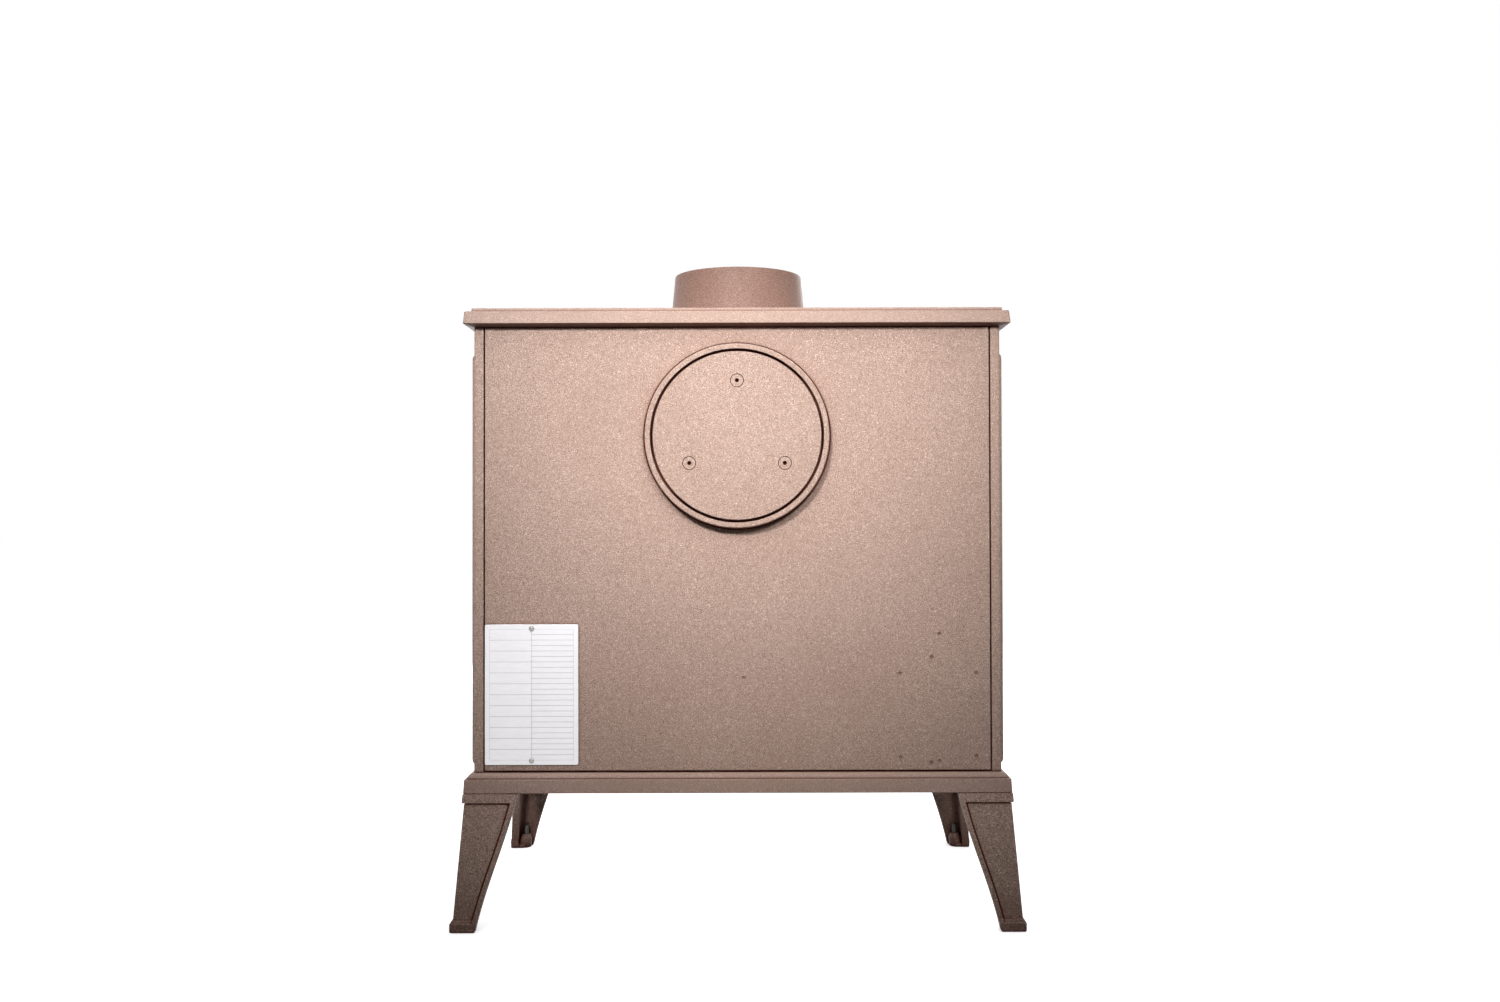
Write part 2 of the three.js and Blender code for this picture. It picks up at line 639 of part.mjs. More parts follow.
function flueCollar() {
  const foot = outletFloor(topSurface, TOP_RING_RAISE) + SEAT;
  const flange = foot + DISC_THICKNESS;
  const rim = flange + COLLAR_HEIGHT;
  const outside = [
    [DISC_RADIUS, foot],
    [DISC_RADIUS, flange - RING_EDGE],
    [DISC_RADIUS - RING_EDGE, flange],
    [COLLAR_FOOT_RADIUS + COLLAR_ROUND, flange],
    [COLLAR_FOOT_RADIUS, flange + COLLAR_ROUND],
  ];
  for (let step = 0; step <= CORNER_STEPS; step++) {
    const angle = step / CORNER_STEPS * Math.PI / 2;
    outside.push([
      COLLAR_RIM_RADIUS - COLLAR_ROUND * (1 - Math.cos(angle)),
      rim - COLLAR_ROUND * (1 - Math.sin(angle)),
    ]);
  }
  const inside = [[COLLAR_RIM_RADIUS - COLLAR_WALL, rim], [OUTLET_BORE, flange], [OUTLET_BORE, foot]];
  const wall = turned([...outside, ...inside, outside[0]], UP, [0, 0], LARGE_SIDES);
  const lugs = outletLugs(foot, flange, OUTLET_BORE + OVERCUT, UP);
  const holes = circle(SCREW_CIRCLE, SCREW_COUNT).map(([x, y]) => countersink(
    flange, DISC_THICKNESS + OVERCUT, UP, [x, y]));
  return piece('flue_collar', paintedIron, cut(join(wall, lugs), ...holes));
}

// Base plate with its ash lip
const rodPlaces = () => [-1, 1].flatMap((x) => [-1, 1].map((y) => [x * rodX, y * rodY]));

function legBoltPlaces() {
  const x = halfWidth + LEG_OVERHANG - LEG_BOLT_INSET;
  const y = halfDepth + LEG_OVERHANG - LEG_BOLT_INSET;
  return [-1, 1].flatMap((signX) => [-1, 1].map((signY) => [signX * x, signY * y]));
}

function ashLip() {
  const top = deckTop - BEAD_HEIGHT;
  const half = LIP_WIDTH / 2;
  const back = -(baseReach - RIM / 2);
  const edge = (inset) => {
    const radius = LIP_CORNER - inset;
    const points = [[half - inset, back - inset], [inset - half, back - inset]];
    for (const side of [-1, 1]) {
      for (let step = 0; step <= CORNER_STEPS; step++) {
        const turn = (side < 0 ? step : CORNER_STEPS - step) / CORNER_STEPS * Math.PI / 2;
        points.push([
          side * (half - LIP_CORNER + radius * Math.cos(turn)),
          LIP_CORNER - frontReach - radius * Math.sin(turn),
        ]);
      }
    }
    return points;
  };
  return cut(
    prism(edge(0), top - LIP_THICKNESS, top),
    prism(edge(LIP_BORDER), top - LIP_DISH, top + OVERCUT));
}

function basePlate() {
  const bandTopHeight = deckTop - BEAD_HEIGHT;
  const steps = [[BASE_OVERHANG + BASE_FLARE, LEG_HEIGHT], [BASE_OVERHANG, bandTopHeight]];
  for (let step = 0; step <= CORNER_STEPS; step++) {
    const angle = step / CORNER_STEPS * Math.PI / 2;
    steps.push([
      BASE_OVERHANG - BASE_FLARE - BEAD_WIDTH * (1 - Math.cos(angle)),
      bandTopHeight + SLIP + (BEAD_HEIGHT - SLIP) * Math.sin(angle),
    ]);
  }
  const outside = loft(moulding(halfWidth, halfDepth, CORNER_RADIUS, steps));
  const rimX = halfWidth + BASE_OVERHANG - RIM;
  const rimY = halfDepth + BASE_OVERHANG - RIM;
  const pads = [-1, 1].flatMap((x) => [-1, 1].map((y) => block(
    [x * (rimX + OVERCUT), x * (rimX - LEG_PAD)],
    [y * (rimY + OVERCUT), y * (rimY - LEG_PAD)],
    [LEG_HEIGHT - 2 * OVERCUT, deckTop])));
  const hollow = cut(
    block([-rimX, rimX], [-rimY, rimY], [LEG_HEIGHT - OVERCUT, deckTop - DECK]),
    ...pads);
  const runnerX = RUNNER_SPACING / 2;
  const runners = [-1, 1].map((side) => block(
    [side * runnerX, side * (runnerX + RUNNER_WIDTH)],
    [-rearSeat, drawerRear],
    [deckTop - OVERCUT, drawerFoot - SEAT]));
  const rodHoles = rodPlaces().map((place) => rod(
    ROD_RADIUS + SLIP, LEG_HEIGHT, deckTop + OVERCUT, UP, place));
  const boltHoles = legBoltPlaces().map((place) => rod(
    LEG_BOLT_RADIUS + SLIP, LEG_HEIGHT - OVERCUT, LEG_HEIGHT + LEG_BOLT_GRIP + SLIP, UP, place));
  return piece('base_plate', paintedIron, cut(
    join(cut(outside, hollow), ashLip(), ...runners), ...rodHoles, ...boltHoles));
}

// Legs, drawn for the corner at +X and +Y and mirrored to the others
// Outline of a leg's angle section at a height, from the outer corner inwards.
function legSection(height) {
  const t = (LEG_HEIGHT - height) / LEG_HEIGHT;
  const curve = LEG_CURVE * t * t * (3 - 2 * t) + (1 - LEG_CURVE) * t;
  const width = LEG_TOP_WIDTH + (LEG_ANKLE_WIDTH - LEG_TOP_WIDTH) * curve;
  const bandFoot = LEG_HEIGHT - LEG_BAND;
  const inToe = height <= TOE_HEIGHT;
  const panel = height < bandFoot && !inToe ? LEG_PANEL_DEPTH : 0;
  const round = height === 0 ? LEG_RIDGE_SLOPE : 0;
  const out = inToe ? LEG_SPLAY * height - round : 0;
  const lean = LEG_SPLAY * (LEG_HEIGHT - height);
  const ridge = LEG_RIDGE;
  const slope = LEG_RIDGE_SLOPE;
  const end = width - round;
  const inward = [
    [end, -out],
    [width - ridge, -out],
    [width - ridge - slope, panel - out],
    [panel - out, panel - out],
    [panel - out, width - ridge - slope],
    [-out, width - ridge],
    [-out, end],
    [LEG_WALL, end],
    [LEG_WALL, LEG_WALL],
    [end, LEG_WALL],
  ];
  return {
    height,
    outline: inward.map(([x, y]) => [
      halfWidth + LEG_OVERHANG + lean - x,
      halfDepth + LEG_OVERHANG + lean - y,
    ]),
  };
}

function legSolid() {
  const bandFoot = LEG_HEIGHT - LEG_BAND;
  const heights = [0, TOE_ROUND, TOE_HEIGHT, TOE_HEIGHT + TOE_COVE];
  const panelTop = bandFoot - LEG_RIDGE_SLOPE;
  const panelSteps = 5;
  for (let step = 1; step <= panelSteps; step++) {
    heights.push(TOE_HEIGHT + TOE_COVE + (panelTop - TOE_HEIGHT - TOE_COVE) * step / panelSteps);
  }
  heights.push(bandFoot, LEG_HEIGHT - SEAT);
  const innerCorner = 8; // index of the point that sees the whole section
  const angle = loft(heights.map(legSection), UP, innerCorner);

  const toeX = halfWidth + toeReach;
  const toeY = halfDepth + toeReach;
  const sole = block(
    [toeX - LEG_ANKLE_WIDTH + TOE_ROUND, toeX - LEG_WALL + OVERCUT],
    [toeY - LEG_ANKLE_WIDTH + TOE_ROUND, toeY - LEG_WALL + OVERCUT],
    [0, SOLE]);
  const centre = [toeX - BOSS_INSET, toeY - BOSS_INSET];
  const boss = turned([
    [0, OVERCUT],
    [BOSS_RADIUS, OVERCUT],
    [BOSS_RADIUS, BOSS_HEIGHT - BOSS_CHAMFER],
    [BOSS_RADIUS - BOSS_CHAMFER, BOSS_HEIGHT],
    [0, BOSS_HEIGHT],
  ], UP, centre);
  const topX = halfWidth + LEG_OVERHANG;
  const topY = halfDepth + LEG_OVERHANG;
  const flange = block(
    [topX - LEG_TOP_WIDTH + LEG_WALL, topX - LEG_WALL + OVERCUT],
    [topY - LEG_TOP_WIDTH + LEG_WALL, topY - LEG_WALL + OVERCUT],
    [LEG_HEIGHT - SEAT - LEG_FLANGE, LEG_HEIGHT - SEAT]);
  const bolt = [topX - LEG_BOLT_INSET, topY - LEG_BOLT_INSET];
  return cut(
    join(angle, sole, boss, flange),
    rod(LEVEL_SCREW_RADIUS + SLIP, -OVERCUT, BOSS_HEIGHT + OVERCUT, UP, centre),
    rod(LEG_BOLT_RADIUS + SLIP, LEG_HEIGHT - LEG_FLANGE - 2 * OVERCUT, LEG_HEIGHT, UP, bolt));
}

function levelScrewSolid() {
  const centre = [halfWidth + toeReach - BOSS_INSET, halfDepth + toeReach - BOSS_INSET];
  const top = LEVEL_SCREW_LIFT + LEVEL_SCREW_LENGTH;
  const screw = turned([
    [0, LEVEL_SCREW_LIFT],
    [LEVEL_SCREW_RADIUS - LEVEL_SLOT_WIDTH, LEVEL_SCREW_LIFT],
    [LEVEL_SCREW_RADIUS, LEVEL_SCREW_LIFT + LEVEL_SLOT_WIDTH],
    [LEVEL_SCREW_RADIUS, top],
    [0, top],
  ], UP, centre);
  const [x, y] = centre;
  return cut(screw, block(
    [x - LEVEL_SLOT_WIDTH / 2, x + LEVEL_SLOT_WIDTH / 2],
    [y - 2 * LEVEL_SCREW_RADIUS, y + 2 * LEVEL_SCREW_RADIUS],
    [top - LEVEL_SLOT_DEPTH, top + OVERCUT]));
}

// Bolt with a hexagon head at its foot.
function hexBolt(headTop, headRadius, headHeight, radius, end, [x, y]) {
  return join(
    rod(headRadius, headTop - headHeight, headTop, UP, [x, y], HEXAGON),
    rod(radius, headTop - OVERCUT, end, UP, [x, y]));
}

function cornerPieces() {
  const legBoltPlace = legBoltPlaces().at(-1);
  const rodPlace = rodPlaces().at(-1);
  const legBolt = hexBolt(
    LEG_HEIGHT - LEG_FLANGE - 2 * SEAT, LEG_BOLT_HEAD_RADIUS, LEG_BOLT_HEAD_HEIGHT,
    LEG_BOLT_RADIUS, LEG_HEIGHT + LEG_BOLT_GRIP, legBoltPlace);
  const tieBolt = hexBolt(
    deckTop - DECK - SEAT, ROD_HEAD_RADIUS, ROD_HEAD_HEIGHT,
    ROD_RADIUS, topFoot + ROD_TOP_GRIP, rodPlace);
  const leg = legSolid();
  const screw = levelScrewSolid();
  const corners = [
    ['front_left', -1, -1],
    ['front_right', 1, -1],
    ['rear_left', -1, 1],
    ['rear_right', 1, 1],
  ];
  return corners.flatMap(([corner, x, y]) => [
    piece(`leg_${corner}`, paintedIron, leg),
    piece(`levelling_screw_${corner}`, darkSteel, screw),
    piece(`leg_bolt_${corner}`, darkSteel, legBolt),
    piece(`tie_bolt_${corner}`, steel, tieBolt),
  ].map((mesh) => {
    mesh.scale.set(x, y, 1);
    return mesh;
  }));
}

// Data plate
const dataMiddle = [panelHalf - SEAT - DATA_WIDTH / 2, bodyFoot + DATA_FOOT + DATA_HEIGHT / 2];

const dataScrewPlaces = () => [-1, 1].map((end) => [
  dataMiddle[0], dataMiddle[1] + end * (DATA_HEIGHT / 2 - DATA_SCREW_INSET)]);

function dataPlate() {
  const outline = roundedRectangle(DATA_WIDTH / 2, DATA_HEIGHT / 2, DATA_CORNER, dataMiddle);
  const back = halfDepth + SEAT;
  const holes = dataScrewPlaces().map((place) => rod(
    DATA_SCREW_SHANK + SEAT, back - OVERCUT, back + DATA_THICKNESS + OVERCUT, REAR, place));
  return piece('data_plate', aluminium, cut(prism(outline, back, back + DATA_THICKNESS, REAR), ...holes));
}

function dataPlateScrews() {
  const seat = halfDepth + SEAT + DATA_THICKNESS + SEAT;
  return dataScrewPlaces().map((place, index) => piece(`data_plate_screw_${index + 1}`, steel, turned([
    [0, seat - DATA_SCREW_LENGTH],
    [DATA_SCREW_SHANK, seat - DATA_SCREW_LENGTH],
    [DATA_SCREW_SHANK, seat],
    ...dome(DATA_SCREW_RADIUS, seat, DATA_SCREW_HEAD),
  ], REAR, place)));
}

// Front plate with its air rows
const airPlaces = (offset) => Array.from({ length: AIR_SLOTS }, (_, index) => (
  offset + (index - (AIR_SLOTS - 1) / 2) * AIR_SLOT_PITCH));
const airSlots = (offset, height, from, to) => airPlaces(offset).map((x) => block(
  [x - AIR_SLOT_WIDTH / 2, x + AIR_SLOT_WIDTH / 2],
  [-from, -to],
  [height - AIR_SLOT_HEIGHT / 2, height + AIR_SLOT_HEIGHT / 2]));
const slideHalf = AIR_SLOTS * AIR_SLOT_PITCH / 2;

function airRails(height) {
  const inner = slideHalf + AIR_TRAVEL / 2 + SLIP;
  const outer = inner + RAIL_STOP;
  const slideEdge = AIR_SLIDE_HEIGHT / 2;
  const root = -(halfDepth - OVERCUT);
  const rails = [-1, 1].flatMap((side) => [
    block(
      [-outer, outer],
      [root, -railFace],
      [height + side * (slideEdge + SLIP), height + side * rowHalf]),
    block(
      [-outer, outer],
      [-(railFace - RAIL_LIP), -railFace],
      [height + side * (slideEdge - RAIL_LIP), height + side * rowHalf]),
    block(
      [side * inner, side * outer],
      [root, -railFace],
      [height - rowHalf, height + rowHalf]),
  ]);
  return join(...rails);
}

function airSlide(name, height) {
  const back = halfDepth + SLIP;
  const front = back + AIR_SLIDE_THICKNESS;
  const x = -AIR_TRAVEL / 2;
  const plate = block(
    [x - slideHalf, x + slideHalf],
    [-back, -front],
    [height - AIR_SLIDE_HEIGHT / 2, height + AIR_SLIDE_HEIGHT / 2]);
  return piece(name, darkSteel, cut(
    plate,
    ...airSlots(x, height, back - OVERCUT, front + OVERCUT),
    rod(AIR_KNOB_STEM + SEAT, back - OVERCUT, front + OVERCUT, FRONT, [x, height])));
}

// Turned knob on a thin stem: the seat is the face it stands on, and the stem reaches back into it.
function knobSolid(seat, reach, radius, stem, stemLength, centre) {
  return turned([
    [0, seat - stemLength],
    [stem, seat - stemLength],
    [stem, seat],
    ...KNOB_SHARES.map(([wide, far]) => [radius * wide, seat + reach * far]),
    [0, seat + reach],
  ], FRONT, centre, MEDIUM_SIDES);
}

function airKnob(name, height) {
  const face = halfDepth + SLIP + AIR_SLIDE_THICKNESS;
  return piece(name, steel, knobSolid(
    face + SEAT, AIR_KNOB_REACH, AIR_KNOB_RADIUS,
    AIR_KNOB_STEM, AIR_SLIDE_THICKNESS, [-AIR_TRAVEL / 2, height]));
}

const hingeHeights = [-1, 1].map((end) => doorMiddle + end * HINGE_SPACING / 2);

const pinHole = (height) => rod(
  PIN_RADIUS + PIN_SLIP,
  height - LUG_HEIGHT - OVERCUT,
  height + KNUCKLE_HEIGHT + 2 * OVERCUT,
  UP,
  [hingeX, -hingeReach]);

function frontPlate() {
  const plate = block(
    [-panelHalf, panelHalf],
    [-halfDepth, -panelInside],
    [bodyFoot + PANEL_GROOVE, bodyTop]);
  const doorway = prism(
    roundedRectangle(openingHalfWidth, openingHalfHeight, DOOR_CORNER, [0, doorMiddle]),
    panelInside - OVERCUT, halfDepth + OVERCUT, FRONT);
  const ashway = block(
    [-ASH_OPENING_WIDTH / 2, ASH_OPENING_WIDTH / 2],
    [-halfDepth - OVERCUT, OVERCUT - panelInside],
    [ashFoot, ashTop]);
  const rows = [primaryHeight, secondaryHeight];
  const slots = rows.flatMap((height) => airSlots(
    AIR_TRAVEL / 2, height, panelInside - OVERCUT, halfDepth + OVERCUT));
  const lugs = hingeHeights.map((height) => join(
    rod(KNUCKLE_RADIUS, height - LUG_HEIGHT, height, UP, [hingeX, -hingeReach]),
    block(
      [hingeX - KNUCKLE_RADIUS, hingeX + KNUCKLE_RADIUS],
      [OVERCUT - halfDepth, -hingeReach],
      [height - LUG_HEIGHT, height])));
  return piece('front_plate', paintedIron, cut(
    join(cut(plate, doorway, ashway, ...slots), ...rows.map(airRails), ...lugs, latchCatch()),
    ...hingeHeights.map(pinHole)));
}

// Hooked lug beside the door that the latch tongue turns down into.
function latchCatch() {
  const lipBack = tongueBack + TONGUE_THICKNESS + SLIP;
  const lipFront = lipBack + CATCH_THICKNESS;
  const left = doorHalfWidth + CATCH_GAP;
  const right = left + CATCH_WIDTH;
  const heights = [doorMiddle - CATCH_BELOW, doorMiddle + CATCH_ABOVE];
  return join(
    block([right - CATCH_WEB, right], [OVERCUT - halfDepth, -lipFront], heights),
    block([left, right], [-lipBack, -lipFront], heights));
}

function hingePins() {
  return hingeHeights.map((height, index) => {
    const head = height - LUG_HEIGHT - SEAT;
    return piece(index ? 'hinge_pin_upper' : 'hinge_pin_lower', steel, turned([
      [0, head - PIN_HEAD_HEIGHT],
      [PIN_HEAD_RADIUS, head - PIN_HEAD_HEIGHT],
      [PIN_HEAD_RADIUS, head],
      [PIN_RADIUS, head],
      [PIN_RADIUS, height + KNUCKLE_HEIGHT],
      [0, height + KNUCKLE_HEIGHT + OVERCUT],
    ], UP, [hingeX, -hingeReach]));
  });
}

// Door
const doorRing = (outer, inner, from, to) => cut(
  prism(roundedRectangle(...outer, DOOR_CORNER, [0, doorMiddle]), from, to, FRONT),
  prism(roundedRectangle(...inner, DOOR_CORNER / 2, [0, doorMiddle]), from - OVERCUT, to + OVERCUT, FRONT));

const glassScrewPlaces = () => [-1, 1].map((side) => [
  side * (glassHalfWidth + RETAINER_ON_DOOR / 2 + SEAT), doorMiddle]);

function doorFrame() {
  const edge = doorFace - DOOR_MOULDING / 2;
  const outside = loft(moulding(doorHalfWidth, doorHalfHeight, DOOR_CORNER, [
    [0, doorBack],
    [0, edge - DOOR_EDGE],
    [-DOOR_EDGE, edge],
    [-DOOR_MOULDING / 2, doorFace - DOOR_EDGE],
    [-DOOR_MOULDING, doorFace],
  ], [0, doorMiddle]), FRONT);
  const rebate = doorBack + SEAT + GLASS_THICKNESS + SEAT + GLASS_SEAL + SEAT;
  const window = loft(moulding(windowHalfWidth, windowHalfHeight, DOOR_CORNER / 2, [
    [0, doorBack - OVERCUT],
    [0, rebate + OVERCUT],
    [WINDOW_FLARE, doorFace + OVERCUT / 2],
  ], [0, doorMiddle]), FRONT);
  const glassSeat = prism(
    roundedRectangle(glassHalfWidth + SLIP, glassHalfHeight + SLIP, DOOR_CORNER / 2, [0, doorMiddle]),
    doorBack - OVERCUT, rebate, FRONT);
  const rope = ropeSizes(0);
  const channel = doorRing(rope.outer, rope.inner, doorBack - OVERCUT, doorBack + ROPE_CHANNEL_DEPTH);
  const sweep = TONGUE_LENGTH * Math.sin(THREE.MathUtils.degToRad(HANDLE_TURN)) + TONGUE_HALF_WIDTH;
  const pocketHalf = TONGUE_HUB_RADIUS + POCKET_MARGIN / 2;
  const pocket = block(
    [handleX - pocketHalf, doorHalfWidth + OVERCUT],
    [-(doorBack - OVERCUT), -pocketFloor],
    [doorMiddle - pocketHalf, doorMiddle + sweep + POCKET_MARGIN]);
  const shaftHole = rod(
    SHAFT_RADIUS + SLIP, doorBack, doorFace + OVERCUT, FRONT, [handleX, doorMiddle], MEDIUM_SIDES);
  const screwHoles = glassScrewPlaces().map((place) => rod(
    GLASS_SCREW_RADIUS + SEAT, doorBack - OVERCUT, doorBack + GLASS_SCREW_GRIP + SLIP, FRONT, place));
  const knuckles = hingeHeights.map((height) => join(
    rod(KNUCKLE_RADIUS, height + SEAT, height + KNUCKLE_HEIGHT, UP, [hingeX, -hingeReach]),
    block(
      [hingeX, -doorHalfWidth + DOOR_MOULDING],
      [-(hingeReach - KNUCKLE_RADIUS / 2), -(hingeReach + KNUCKLE_RADIUS / 4)],
      [height + SEAT, height + KNUCKLE_HEIGHT])));
  return piece('door_frame', paintedIron, cut(
    join(cut(outside, window, glassSeat, channel, pocket), ...knuckles),
    ...hingeHeights.map(pinHole),
    ...screwHoles,
    shaftHole));
}

// Outer and inner half sizes of the rope channel, drawn in on both sides by a clearance.
function ropeSizes(clearance) {
  const inset = ROPE_INSET + clearance;
  const far = ROPE_INSET + ROPE_CHANNEL - clearance;
  return {
    inner: [openingHalfWidth + inset, openingHalfHeight + inset],
    outer: [openingHalfWidth + far, openingHalfHeight + far],
  };
}

function doorSeal() {
  const { outer, inner } = ropeSizes(SEAT);
  return piece('door_seal', rope, doorRing(
    outer, inner, halfDepth + SEAT, doorBack + ROPE_CHANNEL_DEPTH - SEAT));
}

function doorGlass() {
  const back = doorBack + SEAT;
  return piece('door_glass', ceramicGlass, prism(
    roundedRectangle(glassHalfWidth, glassHalfHeight, DOOR_CORNER / 2, [0, doorMiddle]),
    back, back + GLASS_THICKNESS, FRONT));
}

function glassSeal() {
  const back = doorBack + SEAT + GLASS_THICKNESS + SEAT;
  const outer = [glassHalfWidth - OVERCUT, glassHalfHeight - OVERCUT];
  const inner = outer.map((size) => size - GLASS_SEAL_WIDTH);
  return piece('glass_seal', rope, doorRing(outer, inner, back, back + GLASS_SEAL));
}

function glassRetainer() {
  const back = doorBack - SEAT - RETAINER_SHEET;
  const front = doorBack - SEAT;
  const sizes = (overhang) => [glassHalfWidth + overhang, glassHalfHeight + overhang];
  const holes = glassScrewPlaces().map((place) => rod(
    GLASS_SCREW_RADIUS + SEAT, back - OVERCUT, front + OVERCUT, FRONT, place));
  return piece('glass_retainer', steel, cut(
    doorRing(sizes(RETAINER_ON_DOOR), sizes(-RETAINER_ON_GLASS), back, front), ...holes));
}

function glassScrews() {
  const seat = doorBack - SEAT - RETAINER_SHEET - SEAT;
  return glassScrewPlaces().map((place, index) => piece(`glass_screw_${index + 1}`, steel, join(
    rod(GLASS_SCREW_HEAD, seat - GLASS_SCREW_HEAD_HEIGHT, seat, FRONT, place),
    rod(GLASS_SCREW_RADIUS, seat - OVERCUT, doorBack + GLASS_SCREW_GRIP, FRONT, place))));
}

// Handle and latch, drawn latched round their own axis and turned to their place at rest
function handleGroup() {
  const group = new THREE.Group();
  group.position.set(handleX, 0, doorMiddle);
  group.rotation.y = -THREE.MathUtils.degToRad(HANDLE_TURN);
  group.add(handleShaft(), latchTongue(), handleLever(), handleGrip());
  return group;
}

const hubBack = doorFace + SLIP;
const shaftEnd = hubBack + HUB_LENGTH - SHAFT_RADIUS / 2;
const gripReach = doorFace + GRIP_STAND_OFF;
const gripTop = -(ARM_LENGTH + GRIP_RADIUS + SEAT);

const handleShaft = () => piece('handle_shaft', steel, rod(
  SHAFT_RADIUS, doorBack + SLIP, shaftEnd, FRONT, [0, 0], MEDIUM_SIDES));

function latchTongue() {
  const front = tongueBack + TONGUE_THICKNESS;
  const outline = [
    [0, -TONGUE_HALF_WIDTH],
    [TONGUE_LENGTH - TONGUE_CHAMFER, -TONGUE_HALF_WIDTH],
    [TONGUE_LENGTH, TONGUE_CHAMFER - TONGUE_HALF_WIDTH],
    [TONGUE_LENGTH, TONGUE_HALF_WIDTH - TONGUE_CHAMFER],
    [TONGUE_LENGTH - TONGUE_CHAMFER, TONGUE_HALF_WIDTH],
    [0, TONGUE_HALF_WIDTH],
  ];
  return piece('latch_tongue', steel, cut(
    join(
      prism(outline, tongueBack, front, FRONT),
      rod(TONGUE_HUB_RADIUS, tongueBack, front, FRONT, [0, 0], MEDIUM_SIDES)),
    rod(SHAFT_RADIUS + SEAT, tongueBack - OVERCUT, front + OVERCUT, FRONT, [0, 0], MEDIUM_SIDES)));
}

function handleLever() {
  const hubFace = hubBack + HUB_LENGTH;
  const outline = [];
  const steps = 6;
  const ends = [[0, HUB_RADIUS, 0], [-ARM_LENGTH, ARM_END_RADIUS, Math.PI]];
  for (const [y, radius, start] of ends) {
    for (let step = 0; step <= steps; step++) {
      const angle = start + step / steps * Math.PI;
      outline.push([radius * Math.cos(angle), y + radius * Math.sin(angle)]);
    }
  }
  const arm = prism(outline, hubFace - ARM_THICKNESS, hubFace, FRONT);
  const hub = rod(HUB_RADIUS, hubBack, hubFace - OVERCUT, FRONT, [0, 0], MEDIUM_SIDES);
  const post = turned([
    [0, hubFace - OVERCUT],
    [POST_RADIUS, hubFace - OVERCUT],
    ...dome(POST_RADIUS, gripReach, POST_RADIUS),
  ], FRONT, [0, -ARM_LENGTH], MEDIUM_SIDES);
  const socket = rod(GRIP_NECK, gripTop + SEAT, -ARM_LENGTH, UP, [0, -gripReach], MEDIUM_SIDES);
  const stud = rod(STUD_RADIUS, gripTop - GRIP_LENGTH / 2, -ARM_LENGTH, UP, [0, -gripReach]);
  const bore = rod(SHAFT_RADIUS + SEAT, hubBack - OVERCUT, shaftEnd + SEAT, FRONT, [0, 0], MEDIUM_SIDES);
  return piece('door_handle', darkSteel, cut(join(arm, hub, post, socket, stud), bore));
}

function handleGrip() {
  const foot = gripTop - GRIP_LENGTH;
  const grip = turned([
    [0, foot],
    ...GRIP_SHARES.map(([wide, high]) => [GRIP_RADIUS * wide, foot + GRIP_LENGTH * high]),
    [GRIP_NECK, gripTop],
    [0, gripTop],
  ], UP, [0, -gripReach], MEDIUM_SIDES);
  const bore = rod(
    STUD_RADIUS + SEAT, gripTop - GRIP_LENGTH / 2 - SEAT, gripTop + OVERCUT, UP, [0, -gripReach]);
  return piece('handle_grip', wood, cut(grip, bore));
}

// Ash drawer
const drawerBack = halfDepth; // face of the sheet box that the cast front is fixed to
const drawerTop = ashTop - DRAWER_TOP_GAP;
const drawerMiddle = (ashFoot + ashTop) / 2;

function ashDrawer() {
  return piece('ash_drawer', steel, cut(
    block([-drawerHalf, drawerHalf], [-drawerBack, drawerRear], [drawerFoot, drawerTop]),
    block(
      [DRAWER_SHEET - drawerHalf, drawerHalf - DRAWER_SHEET],
      [DRAWER_SHEET - drawerBack, drawerRear - DRAWER_SHEET],
      [drawerFoot + DRAWER_SHEET, drawerTop + OVERCUT]),
    rod(DRAWER_KNOB_STEM + SEAT, drawerBack - 2 * DRAWER_SHEET, drawerBack + OVERCUT, FRONT,
      [0, drawerMiddle])));
}

function ashDrawerFront() {
  const back = drawerBack + SEAT;
  const face = back + DRAWER_FRONT_THICKNESS;
  const halfX = ASH_OPENING_WIDTH / 2 + DRAWER_LAP;
  const halfZ = ASH_OPENING_HEIGHT / 2 + DRAWER_LAP;
  const plate = loft(moulding(halfX, halfZ, CORNER_RADIUS, [
    [0, back],
    [0, face - DRAWER_MOULDING],
    [-DRAWER_MOULDING / 3, face - DRAWER_MOULDING / 3],
    [-DRAWER_MOULDING, face],
  ], [0, drawerMiddle]), FRONT);
  return piece('ash_drawer_front', paintedIron, cut(
    plate, rod(DRAWER_KNOB_STEM + SEAT, back - OVERCUT, face + OVERCUT, FRONT, [0, drawerMiddle])));
}

function ashDrawerKnob() {
  const seat = drawerBack + SEAT + DRAWER_FRONT_THICKNESS + SEAT;
  return piece('ash_drawer_knob', steel, knobSolid(
    seat, DRAWER_KNOB_REACH, DRAWER_KNOB_RADIUS, DRAWER_KNOB_STEM,
    DRAWER_FRONT_THICKNESS + 2 * DRAWER_SHEET, [0, drawerMiddle]));
}

// Firebox
function hearthPlate() {
  const lapX = GRATE_WIDTH / 2 - GRATE_LAP;
  const lapY = GRATE_DEPTH / 2 - GRATE_LAP;
  const middle = (hearthFoot + hearthTop) / 2;
  return piece('hearth_plate', bareIron, cut(
    block([-hearthHalf, hearthHalf], [-rearSeat, rearSeat], [hearthFoot, hearthTop]),
    block(
      [-GRATE_WIDTH / 2, GRATE_WIDTH / 2],
      [-GRATE_DEPTH / 2, GRATE_DEPTH / 2],
      [middle, hearthTop + OVERCUT]),
    block([-lapX, lapX], [-lapY, lapY], [hearthFoot - OVERCUT, middle + OVERCUT])));
}

